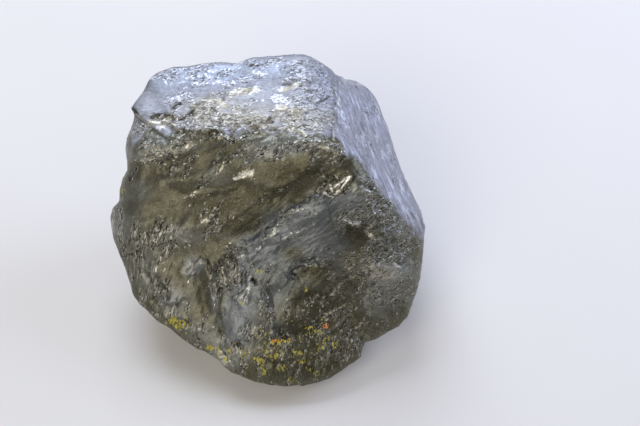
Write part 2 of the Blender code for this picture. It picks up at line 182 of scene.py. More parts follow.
def noise(points):
    """Smooth gradient noise, about -1 to 1."""
    cell = np.floor(points).astype(np.int64)
    f = points - cell
    cell &= 255
    w = f * f * f * (f * (f * 6.0 - 15.0) + 10.0)
    total = np.zeros(len(points))
    for dx in (0, 1):
        for dy in (0, 1):
            for dz in (0, 1):
                row = _PERM[(cell[:, 0] + dx) & 255]
                row = _PERM[(row + cell[:, 1] + dy) & 255]
                lean = _LEAN[_PERM[(row + cell[:, 2] + dz) & 255]]
                dot = (lean * (f - np.array((dx, dy, dz)))).sum(1)
                total += (dot * (w[:, 0] if dx else 1 - w[:, 0])
                          * (w[:, 1] if dy else 1 - w[:, 1]) * (w[:, 2] if dz else 1 - w[:, 2]))
    return total * 1.7


def layered(points, layers):
    """Noise in halving sizes and heights."""
    total, height, full = np.zeros(len(points)), 1.0, 0.0
    for k in range(layers):
        total += height * noise(points * 2.0 ** k + 17.3 * k)
        full += height
        height *= 0.5
    return total / full * 1.4


# ---- steps -----------------------------------------------------------------------
def cleavage_planes():
    """Normals and offsets of the planes of the corners' convex hull."""
    bm = bmesh.new()
    for corner in OUTLINE + CREST:
        bm.verts.new(place(*corner))
    for x, y in FOOT:
        bm.verts.new((x, y, FOOT_Z))
    for corner in REAR:
        bm.verts.new(corner)
    hull = bmesh.ops.convex_hull(bm, input=bm.verts)
    loose = {g for g in hull["geom_interior"] + hull["geom_unused"]
             if isinstance(g, bmesh.types.BMVert)}
    bmesh.ops.delete(bm, geom=list(loose), context="VERTS")
    bmesh.ops.dissolve_limit(bm, angle_limit=math.radians(2.5), verts=bm.verts, edges=bm.edges)
    bmesh.ops.recalc_face_normals(bm, faces=bm.faces)
    normals = np.array([f.normal[:] for f in bm.faces])
    offsets = np.array([f.normal.dot(f.calc_center_median()) for f in bm.faces])
    bm.free()
    return normals, offsets


def draw_in(ways, normals, offsets):
    """Pull the ball in to the planes along each way out from the centre."""
    toward = ways @ normals.T
    reach = np.where(toward > 1e-4, (offsets - normals @ CENTRE) / np.maximum(toward, 1e-4), 1e3)
    nearest = reach.min(1)
    share = np.exp(-(np.minimum(reach, 1e3) - nearest[:, None]) / EDGE_WEAR)
    radius = nearest - EDGE_WEAR * np.log(share.sum(1))
    facing = share @ normals
    facing /= np.linalg.norm(facing, axis=1)[:, None]
    return CENTRE + ways * radius[:, None], facing


def trim_outline(points, sectors=360):
    """Slide points square to the line of sight until the outline falls on OUTLINE."""
    across, up, shrink = on_plane(points)
    dx, dy = across - OUTLINE_HUB[0], up - OUTLINE_HUB[1]
    turn, out = np.arctan2(dy, dx), np.hypot(dx, dy)
    sector = ((turn + math.pi) / (2 * math.pi) * sectors).astype(int) % sectors
    now = np.zeros(sectors)
    np.maximum.at(now, sector, out)
    now = (now + np.roll(now, 1) + np.roll(now, -1)) / 3.0
    middle = (np.arange(sectors) + 0.5) / sectors * 2 * math.pi - math.pi

    line = np.array([(a, b) for a, b, _ in OUTLINE]) - np.array(OUTLINE_HUB)
    step = np.linspace(0.0, 1.0, 40, endpoint=False)[None, :, None]
    line = (line[:, None] + (np.roll(line, -1, 0) - line)[:, None] * step).reshape(-1, 2)
    line_turn = np.arctan2(line[:, 1], line[:, 0])
    order = np.argsort(line_turn)
    wanted = np.interp(middle, line_turn[order], np.hypot(line[:, 0], line[:, 1])[order],
                       period=2 * math.pi)

    grow = np.interp(turn, middle, wanted / now, period=2 * math.pi) - 1.0
    rim = np.interp(turn, middle, now, period=2 * math.pi)
    grow *= ease(0.45, 1.0, out / rim) ** 1.5
    return points + (dx * grow / shrink)[:, None] * ACROSS + (dy * grow / shrink)[:, None] * UP


def zones(across, up):
    """Shares of the top band, the steep side face and the front."""
    crest = np.array([(a, b) for a, b, _ in CREST[:7]])
    ridge = np.array([(a, b) for a, b in SIDE_RIDGE])
    side_face = ease(-0.7, 0.7, across - np.interp(up, ridge[:, 1], ridge[:, 0]))
    top = ease(-0.9, 0.9, up - np.interp(across, crest[:, 0], crest[:, 1])) * (1 - side_face)
    return top, side_face, (1 - top) * (1 - side_face)


def from_line(across, up, line):
    """Distance from a line of points, which side (+1 left, -1 right) and how far along (0 to 1)."""
    line = np.asarray(line, float)
    lengths = np.hypot(*(line[1:] - line[:-1]).T)
    start = np.concatenate([[0.0], np.cumsum(lengths)])
    best = np.full(len(across), 1e9)
    side, along = np.zeros(len(across)), np.zeros(len(across))
    for k, (a, b) in enumerate(zip(line[:-1], line[1:])):
        run = b - a
        t = np.clip(((across - a[0]) * run[0] + (up - a[1]) * run[1]) / (run @ run), 0, 1)
        far = np.hypot(across - a[0] - t * run[0], up - a[1] - t * run[1])
        nearer = far < best
        side = np.where(nearer, np.sign(run[0] * (up - a[1]) - run[1] * (across - a[0])), side)
        along = np.where(nearer, (start[k] + t * lengths[k]) / start[-1], along)
        best = np.minimum(best, far)
    return best, side, along


def relief(points, facing):
    """Height of the named hollows and ridges, the ribs and the unevenness at each point."""
    across, up, _ = on_plane(points)
    sight = SIGHT - points
    sight /= np.linalg.norm(sight, axis=1)[:, None]
    seen = (facing * sight).sum(1)
    shown = ease(0.02, 0.25, seen)
    rear = 1.0 - ease(-0.15, 0.15, seen)

    size, amount = WANDER
    a = across + amount * noise(points / size + 40.0)
    b = up + amount * noise(points / size + 80.0)
    height = np.zeros(len(points))
    patchy = 1.0 + 0.35 * noise(points / 9.0 + 60.0)
    for line, rise, left, right, edge in RELIEF.values():
        far, side, along = from_line(a, b, line)
        fade = np.exp(-(far / np.where(side > 0, left, right)) ** 2)
        if edge:
            fade *= np.tanh(side * far / edge) * ease(0, 0.2, along) * ease(0, 0.2, 1 - along)
        height += rise * fade * patchy * shown

    top, side_face, front = zones(across, up)
    length, width, rise = GRAIN
    for zone, slope, amount in ((front * ease(-30, 0, up), GRAIN_SLOPES[0], 1.0),
                                (front * (1 - ease(-30, 0, up)), GRAIN_SLOPES[1], 1.0),
                                (top, GRAIN_SLOPES[2], 0.8), (side_face, GRAIN_SLOPES[3], 0.8)):
        turn = math.radians(slope)
        along = across * math.cos(turn) + up * math.sin(turn)
        over = up * math.cos(turn) - across * math.sin(turn)
        ribs = np.stack([along / length, over / width, points[:, 2] / 20.0], 1)
        height += rise * amount * layered(ribs, 2) * zone * shown

    size, rise = UNEVEN_WIDE
    height += rise * layered(points / size + 3.1, 2)
    size, rise = UNEVEN_NEAR
    height += rise * layered(points / size + 9.7, 2) * (0.45 + (UNEVEN_REAR - 0.45) * rear)
    return height


EDGE_WEAR = 1.5                # its edges are worn rounder, and roughened again below
GRAIN = (12.0, 4.6, 0.20)      # its broad ribs are flatter, the fine ledges take their place
UNEVEN_NEAR = (7.0, 0.36)

# the finer surface carries these more gently than the coarse solid, its small ledges do the rest
for name, share in {"shoulder edge": 0.25, "ridge edge": 0.38, "pit edge": 0.6, "pit": 0.8,
                    "finger groove": 0.5, "cleft to the foot": 0.5, "finger strip": 0.6, "finger rim": 0.25,
                    "crack at the left": 0.35}.items():
    RELIEF[name] = (RELIEF[name][0], RELIEF[name][1] * share) + RELIEF[name][2:]

# ================================================================ fine surface
FINE_LEVEL = 8                 # subdivisions of the ball
FINE_TRIANGLES = 197000
LEAN_IN = 0.22                 # how much denser the ball is towards the sighting point


def cells(points):
    """Worley cells: distance to the nearest and next seed, offset from the seed, cell numbers."""
    cell = np.floor(points).astype(np.int64)
    f = points - cell
    n = len(points)
    near, nxt = np.full(n, 9.0), np.full(n, 9.0)
    offset, number = np.zeros((n, 3)), np.zeros((n, 4))
    for dx in (-1, 0, 1):
        for dy in (-1, 0, 1):
            for dz in (-1, 0, 1):
                row = _PERM[(cell[:, 0] + dx) & 255]
                row = _PERM[(row + cell[:, 1] + dy) & 255]
                seed = _PERM[(row + cell[:, 2] + dz) & 255]
                away = f - _SEED[seed, :3] - np.array((dx, dy, dz))
                d = np.sqrt((away * away).sum(1))
                closer = d < near
                nxt = np.where(closer, near, np.minimum(nxt, d))
                near = np.where(closer, d, near)
                offset[closer] = away[closer]
                number[closer] = _SEED[_PERM[(seed[closer] + 91) & 255]]
    return near, nxt, offset, number


_SEED = np.random.default_rng(11).random((256, 4))

# ---- how rough each place is: across, up, reach across, reach up, amount -----------------
ROUGH_FRONT, ROUGH_TOP, ROUGH_SIDE, ROUGH_REAR = 0.38, 0.62, 0.40, 0.45
ROUGH = [
    (-28, 18, 6, 3.5, 0.5),        # apron below the crest, left
    (-21.5, 13.6, 2.5, 2.5, 0.4),  # flecks below it
    (-17.9, 9.7, 2.5, 1.8, 0.4),
    (-12.3, 14, 2.6, 4, 0.35),
    (-4, 17.5, 5, 2.8, 0.5),       # under the crest, middle
    (10, 20, 9, 2.4, 0.5),         # under the crest, right
    (-38.4, 6.9, 1.6, 5, 0.5),     # left edge
    (-35, -4, 4, 7, 0.35),         # left flank
    (-26.4, -3.3, 6.5, 4.5, 0.55), # light flecked band
    (-13.6, -0.5, 3.2, 3.6, 0.35),
    (-9.5, -13, 4.5, 5.5, 0.8),    # crinkled folds
    (17, 9.5, 5, 2.6, 0.7),        # glint ledges
    (17, 15, 4.5, 2.4, 0.4),
    (26, 7, 4, 5, 0.55),           # by the ridge of the side face
    (32, -2, 6, 5, 0.45),
    (22, 1.5, 5, 2.4, 0.35),       # above the right hollow
    (28, -14, 11, 10, 0.42),       # low right
    (16, -12, 7, 6, 0.15),
    (8, -31, 24, 7, 0.38),         # foot
    (12, -22, 7, 4, 0.2),
    (30, -9, 4, 3, 0.3),
    (16, -31, 4, 3, 0.25),
    (-8, -35, 4, 3, 0.3),
    (-29, -17, 7, 8, 0.35),        # low left
    (-22, 8, 6, 3.5, -0.15),       # smooth slab, left
    (3, 15.5, 6, 2.5, 0.15),       # shoulder
    (6, 10, 11, 5, -0.3),          # long hollow
    (0, -6, 8, 5, -0.22),          # broad ridge
    (8, -4, 7, 5, -0.2),           # below the broad ridge
    (-7, -22, 3.5, 8, -0.22),      # slab, low middle
    (-18, -15, 2.5, 4, -0.15),     # finger
    (4, -27, 5, 2.5, -0.3),        # smooth dark place over the foot
    (-32, 10, 3.4, 7, -0.3),       # smooth place by the left edge
    (31, -5, 7, 8, 0.35),          # crinkled, right
    (31, -12, 4, 2.4, -0.55),      # bare patch in it
    (23.8, -3.2, 4, 1.6, -0.5),    # right hollow
    (11.5, -12.6, 3.6, 2, -0.35),  # pit
]
ROUGH_BAND = [
    (-27.4, 32.3, 3.6, 3.4, -0.55), (-31.4, 29.4, 3.0, 3.6, -0.5), (-20.7, 35, 2.6, 1.2, -0.4),
    (-17.2, 33, 2.4, 1.8, -0.4), (1.6, 34, 5, 3.4, -0.5), (-1.8, 30.6, 2.6, 2.6, -0.45),
    (-11, 29.4, 2, 2, -0.25), (-25, 38, 12, 1.8, 0.15), (11, 37, 7, 5, 0.2),
    (-14, 27, 8, 3, 0.35), (8, 27, 8, 2.6, 0.4), (13, 31, 3.5, 6, 0.3),
]
# how many degrees the front's foliation rises, at each level
GRAIN_TURN = ((-30, 78), (-20, 70), (-8, 51), (2, 38), (14, 30))

# ---- small named features: line, rise, reach left, reach right, edge (as in RELIEF) -----
DETAIL = {
    "pocket, top left": ([(-29.4, 26.9), (-26.8, 27.2), (-24.6, 26.8)], -0.63, 0.45, 0.6, 0),
    "lip of it": ([(-30, 25.6), (-27.4, 25.7), (-24, 25.4)], 0.3, 0.5, 0.6, 0),
    "pocket above it": ([(-24.6, 29.4), (-22.4, 29.9)], -0.49, 0.4, 0.5, 0),
    "second pocket": ([(-22.8, 26.2), (-20.6, 27), (-19.2, 28.4)], -0.56, 0.5, 0.7, 0),
    "crinkled pocket": ([(-15.6, 22), (-13.8, 23.2), (-12.2, 25.2)], -0.63, 0.6, 0.7, 0),
    "small pocket": ([(-6.9, 25.2), (-4.8, 25.6)], -0.49, 0.4, 0.5, 0),
    "long pocket": ([(-4.6, 23.4), (-2, 24.4), (0.8, 26)], -0.63, 0.5, 0.7, 0),
    "back pocket": ([(3.8, 35), (7.6, 35.6)], -0.6, 0.45, 0.6, 0),
    "band ledge": ([(-11.8, 31.8), (-7.2, 33), (-2.6, 33.5)], -0.4, 1.8, 1.6, 0.5),
    "band ledge, right": ([(4, 28.4), (9, 29.6), (14, 31.4)], -0.4, 1.8, 1.6, 0.5),
    "band ledge, low": ([(-1, 26.8), (6, 26.2), (13, 27.4)], 0.4, 1.5, 1.6, 0.5),
    "crest notch": ([(-10, 21.4), (-7, 24.2), (-3.4, 25)], -0.8, 1.3, 1.3, 0.5),
    "ridge groove": ([(17.2, 34), (17.6, 29), (18.4, 25)], -0.3, 0.9, 1.0, 0),
    "bright streak": ([(-9, 11.2), (-6, 12), (-3.4, 13.2)], 0.3, 0.7, 1.2, 0.4),
    "line under the shoulder": ([(-1.6, 5.8), (3.4, 7.4), (8, 10.2), (10.4, 13)], 0.2, 1.6, 1.8, 0.8),
    "glint ledge": ([(15.4, 9.8), (16.6, 7.4), (18.2, 8.4), (21.4, 11.4)], 0.45, 1.1, 1.0, 0.35),
    "glint ledge above": ([(14, 11.2), (16.4, 10.4), (19.4, 12)], 0.5, 0.9, 0.9, 0.35),
    "ridge crease": ([(-6.6, -5.2), (-2.2, -3.2), (2, 0.2), (5.4, 3.8), (10, 5)], -0.3, 1.6, 1.6, 0.6),
    "ridge crease, low": ([(-2, -8.6), (3, -5), (8, -1)], -0.25, 2.0, 1.6, 0.6),
    "rim over the right hollow": ([(17.8, 0.2), (20.2, -0.8), (22.8, -0.2)], 0.7, 0.7, 0.7, 0),
    "right ledge": ([(26, -4), (30, -3), (35, -5)], 0.8, 1.6, 1.8, 0.5),
    "right ledge, low": ([(23, -9), (28, -8), (33, -9.6), (37, -12)], 0.2, 1.6, 1.8, 0.5),
    "crack by the finger": ([(-20.4, -12.8), (-19.4, -10.4), (-17.6, -9.4), (-15.6, -10.4), (-14.4, -13.2)],
                            -0.25, 0.45, 0.45, 0),
    "finger lip": ([(-19, -13.4), (-18.2, -11.4), (-16.8, -11)], 0.3, 0.7, 0.7, 0),
    "thin crack": ([(-12.8, -11), (-13.4, -16), (-13.5, -21)], -0.5, 0.4, 0.5, 0),
    "fold 1": ([(-12, -9.6), (-11.2, -12.6), (-10.2, -16)], -0.7, 0.45, 0.45, 0),
    "fold 2": ([(-10.6, -9), (-9.6, -12), (-8.8, -16.4)], 0.6, 0.5, 0.5, 0),
    "fold 3": ([(-9.2, -8.6), (-8, -12), (-7, -15.4)], -0.7, 0.45, 0.45, 0),
    "fold 4": ([(-7.8, -8.2), (-6.2, -11.6), (-5.8, -14.6)], 0.55, 0.5, 0.5, 0),
    "light strip": ([(-4.4, -8), (-5.6, -13.6), (-7.6, -20.4)], 0.2, 0.9, 1.0, 0),
    "shade by the strip": ([(-2.6, -9), (-3.8, -14.4), (-5.6, -20.6)], -0.2, 0.8, 0.9, 0),
    "black pit": ([(-3.8, -15.2), (-3.4, -15.6)], -0.8, 0.4, 0.4, 0),
    "black pit, low": ([(-7.8, -31.2), (-7.2, -31.8)], -1.2, 0.6, 0.6, 0),
    "pit line": ([(5.6, -13.8), (8.2, -11.3), (12.4, -9.9)], 0.25, 1.2, 1.6, 0.5),
    "low left groove": ([(-32, -13), (-27.6, -15.4), (-25, -20)], -0.7, 0.9, 1.2, 0),
    "low left ledge": ([(-30, -18), (-25, -20.6), (-20, -20)], 0.7, 1.6, 1.6, 0.5),
    "low left scarp": ([(-27.2, -24.2), (-23.4, -25.8), (-20, -25)], 0.8, 1.4, 1.4, 0.4),
    "foot gully": ([(2.6, -27.6), (6, -30.6), (6.6, -35)], -0.8, 1.1, 1.1, 0),
    "foot ledge": ([(-4, -33.6), (2, -35.8), (9, -35.4), (15, -33)], 0.8, 1.5, 1.6, 0.5),
    "foot ledge, right": ([(14, -29), (18, -27), (22, -23.4)], 0.8, 1.4, 1.6, 0.5),
}


def roughness_map(across, up, top, side_face, front, rear):
    rough = ROUGH_TOP * top + ROUGH_SIDE * side_face + ROUGH_FRONT * front
    for table, share in ((ROUGH, front), (ROUGH_BAND, top)):
        for a, b, ra, rb, amount in table:
            rough = rough + amount * share * np.exp(-((across - a) / ra) ** 2
                                                    - ((up - b) / rb) ** 2)
    edges = np.zeros(len(across))
    for line, rise, left, right, edge in RELIEF.values():
        if edge:
            far, _, _ = from_line(across, up, line)
            edges = np.maximum(edges, np.exp(-(far / 1.5) ** 2))
    rough = rough + 0.35 * edges * front
    return np.clip(rough * (1 - rear) + ROUGH_REAR * rear, 0.03, 1.2)


def ragged(points):
    """The points, shaken a little where it is rough, so that no relief line runs smoothly there."""
    across, up, _ = on_plane(points)
    top, side_face, front = zones(across, up)
    amount = 0.12 + 0.55 * ease(0.35, 0.8, roughness_map(across, up, top, side_face, front, 0.0))
    shake = [noise(points / 2.1 + k) + 0.6 * noise(points / 0.9 + k + 5.0) for k in (1.0, 27.0, 63.0)]
    return points + amount[:, None] * np.stack(shake, 1)


def grain_ways(points, across, up):
    """Along, over and into the foliation, for the front, top band, side face and rear."""
    into = (points - MIDDLE) @ OUT
    level = np.linspace(-60.0, 60.0, 241)
    turn = np.radians(np.interp(level, *np.array(GRAIN_TURN).T))
    cot = 1.0 / np.tan(turn)
    shift = np.concatenate([[0.0], np.cumsum((cot[1:] + cot[:-1]) / 2 * np.diff(level))])
    shift -= np.interp(0.0, level, shift)
    here = np.interp(up, level, turn)
    ways = [np.stack([across * np.cos(here) + up * np.sin(here),
                      (np.interp(up, level, shift) - across) * np.sin(here), into], 1)]
    for slope, finer in ((5.0, 1.0), (112.0, 1.35)):
        turn = math.radians(slope)
        ways.append(np.stack([across * math.cos(turn) + up * math.sin(turn),
                              finer * (up * math.cos(turn) - across * math.sin(turn)), into], 1))
    ways.append(np.stack([points[:, 0] * 0.83 + points[:, 2] * 0.56,
                          points[:, 2] * 0.83 - points[:, 0] * 0.56, points[:, 1]], 1))
    return ways


def chipped(way, rough, seed):
    """Where the surface is broken into chips, in runs along the foliation."""
    runs = layered(way / (6.5, 1.9, 5.0) + seed, 3)
    return ease(0.0, 0.45, 0.9 * runs + 1.6 * (rough - 0.52))


def saw_ledges(way, spacing, seed, drop=0.2):
    """Treads that sink away slowly and then step back up, each strong and weak along its run."""
    run, over, into = way.T
    phase = over / spacing + 1.3 * layered(np.stack(
        [run / (4.5 * spacing), over / (2.2 * spacing), into / (4 * spacing)], 1) + seed, 2)
    tread = np.floor(phase)
    part = phase - tread
    strong = np.clip(0.35 + 1.1 * noise(np.stack(
        [run / (3.0 * spacing), tread * 3.7, into / (5 * spacing)], 1) + seed), 0, 1)
    return (part - ease(1 - drop, 1.0, part) - 0.4) * strong


def facets(way, size, seed):
    """Every cell is a small facet that leans its own way."""
    _, _, offset, number = cells(way / size + seed)
    return (offset * (number[:, :3] - 0.5)).sum(1)


def fine_relief(points, facing):
    """Everything the CAD solid leaves out."""
    across, up, _ = on_plane(points)
    sight = SIGHT - points
    sight /= np.linalg.norm(sight, axis=1)[:, None]
    seen = (facing * sight).sum(1)
    shown = ease(0.02, 0.25, seen)
    rear = 1.0 - ease(-0.15, 0.15, seen)
    top, side_face, front = zones(across, up)
    rough = roughness_map(across, up, top, side_face, front, rear)
    height = np.zeros(len(points))

    # small named features, their lines a little ragged
    a = across + 0.45 * noise(points / 1.6 + 11.0) + 0.6 * noise(points / 4.0 + 33.0)
    b = up + 0.45 * noise(points / 1.6 + 21.0) + 0.6 * noise(points / 4.0 + 53.0)
    for k, (line, rise, left, right, edge) in enumerate(DETAIL.values()):
        far, side, along = from_line(a, b, line)
        rise = rise * np.clip(0.75 + 1.1 * noise(points / 1.9 + 7.1 * k), 0.0, 1.5)
        fade = np.exp(-(far / np.where(side > 0, left, right)) ** 2)
        if edge:
            fade *= np.tanh(side * far / edge) * ease(0, 0.2, along) * ease(0, 0.2, 1 - along)
        height += rise * fade * shown

    # bites out of the crest
    crest = np.array([(u, v) for u, v, _ in CREST[:7]])
    off = up - np.interp(across, crest[:, 0], crest[:, 1]) + 0.8 * noise(points / 3.0 + 15.0)
    bite = ease(-0.05, 0.55, noise(points / 3.6 + 44.0)) + 0.5 * ease(0, 0.5, noise(points / 1.5 + 4.0))
    height -= 0.5 * bite * np.exp(-(off / 1.7) ** 2) * shown * ease(-36, -20, across) * (across < 17)

    # foliation
    lay = grain_ways(points, across, up)
    #            zone                 ledge spacing, height, rib width, height, chip height, way
    kinds = ((front * (1 - rear), 2.6, 0.28, 1.0, 0.055, 0.26, 1.0),
             (top * (1 - rear), 2.3, 0.32, 1.0, 0.030, 0.26, -1.0),
             (side_face * (1 - rear), 1.5, 0.24, 0.7, 0.060, 0.20, 1.0),
             (rear, 3.6, 0.75, 1.1, 0.060, 0.34, 1.0))
    for k, (share, spacing, step, width, ribs, chips, way_up) in enumerate(kinds):
        on = share > 0.004
        p, seed = lay[k][on], 5.0 * k
        p = p + 0.9 * np.stack([noise(p / 8.0 + s + seed) for s in (2.0, 7.0, 13.0)], 1)
        r = rough[on]
        chip = chipped(p, r, seed)
        turned = p * (1.0, way_up, 1.0)
        calm = 0.5 if k == 2 else 0.12
        h = step * saw_ledges(turned, spacing, seed + 1) * (calm + (1.2 - calm) * chip)
        h += 0.5 * step * saw_ledges(turned, spacing * 0.47, seed + 2) * (calm + (1 - calm) * chip)
        h += ribs * layered(p / (5.0, width, 3.0) + seed + 3, 2)
        h += chips * facets(p, (1.7, 1.05, 1.5), seed + 4) * chip
        h += 0.75 * chips * facets(p, (0.95, 0.65, 0.9), seed + 5) * chip
        h += 0.10 * layered(p / (2.4, 1.5, 2.4) + seed + 6, 2) * (0.25 + 0.75 * chip)
        near, _, _, number = cells(p / (3.2, 2.2, 3.0) + seed + 8)
        h -= 0.45 * chip * (number[:, 0] < 0.3) * np.exp(-(near / (0.10 + 0.10 * number[:, 1])) ** 2)
        height[on] += h * share[on]
    return height


# ================================================================ the visible lump
def shape_of(ways):
    points, facing = draw_in(ways, *cleavage_planes())
    points = trim_outline(points)
    return points, facing


def ball_ways(level):
    bm = bmesh.new()
    bmesh.ops.create_icosphere(bm, subdivisions=level, radius=1.0)
    ways = np.array([v.co[:] for v in bm.verts])
    return bm, ways / np.linalg.norm(ways, axis=1)[:, None]


def cad_middle():
    """Middle of the CAD lump's box before it was moved to the origin."""
    bm, ways = ball_ways(6)
    bm.free()
    points, facing = shape_of(ways)
    points = points + facing * relief(points, facing)[:, None]
    points = points[points[:, 2] > 0]
    middle = (points.min(0) + points.max(0)) / 2.0
    return np.array([middle[0], middle[1], 0.0])


def build_lump(origin):
    level = FINE_LEVEL
    bm, ways = ball_ways(level)
    ways = ways + LEAN_IN * OUT
    ways /= np.linalg.norm(ways, axis=1)[:, None]
    points, facing = shape_of(ways)
    points = points + facing * relief(ragged(points), facing)[:, None]
    fine = fine_relief(points, facing)
    fine *= ease(0.0, 2.5, points[:, 2] + 0.4)       # the foot stays as the CAD has it
    points = points + facing * fine[:, None] - origin
    for vert, point in zip(bm.verts, points):
        vert.co = point * MM
    # flat foot at floor level
    bmesh.ops.bisect_plane(bm, geom=bm.verts[:] + bm.edges[:] + bm.faces[:], dist=1e-7,
                           plane_co=(0, 0, 0), plane_no=(0, 0, -1), clear_outer=True)
    bmesh.ops.edgeloop_fill(bm, edges=[e for e in bm.edges if e.is_boundary])
    bmesh.ops.triangulate(bm, faces=[f for f in bm.faces if len(f.verts) > 3])
    bmesh.ops.recalc_face_normals(bm, faces=bm.faces)
    full = bpy.data.meshes.new("lump_full")
    bm.to_mesh(full)
    faces = len(bm.faces)
    bm.free()
    lump = bpy.data.objects.new("lump_surface", full)
    bpy.context.scene.collection.objects.link(lump)
    if faces > FINE_TRIANGLES:
        thin = lump.modifiers.new("thin", "DECIMATE")
        thin.ratio = FINE_TRIANGLES / faces
        bpy.context.view_layer.update()
        mesh = bpy.data.meshes.new_from_object(
            lump.evaluated_get(bpy.context.evaluated_depsgraph_get()))
        lump.modifiers.clear()
        lump.data = mesh
        bpy.data.meshes.remove(full)
    mesh = lump.data
    mesh.name = "lump_surface"

    # keep inside the CAD lump's box
    co = np.empty(len(mesh.vertices) * 3)
    mesh.vertices.foreach_get("co", co)
    co = co.reshape(-1, 3)
    low, high = (np.array(c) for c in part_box("graphite_lump"))
    mid, size = (low + high) / 2, (high - low) * 0.9995
    own_low, own_high = co.min(0), co.max(0)
    own_mid, own = (own_low + own_high) / 2, own_high - own_low
    grow = np.minimum(1.0, size / own)
    offset = np.clip(own_mid, mid - (size - own * grow) / 2, mid + (size - own * grow) / 2)
    co[:, :2] = (co[:, :2] - own_mid[:2]) * grow[:2] + offset[:2]
    co[:, 2] = np.clip(co[:, 2] * min(1.0, size[2] / own_high[2]), 0.0, None)
    mesh.vertices.foreach_set("co", co.ravel())
    mesh.update()
    mesh.shade_smooth()
    return lump


def spread(values, a, b, count, rounds):
    """Average each vertex's value with its neighbours'."""
    for _ in range(rounds):
        total = (np.bincount(a, values[b], count) + np.bincount(b, values[a], count))
        number = np.bincount(a, minlength=count) + np.bincount(b, minlength=count)
        values = 0.5 * values + 0.5 * total / np.maximum(number, 1)
    return values


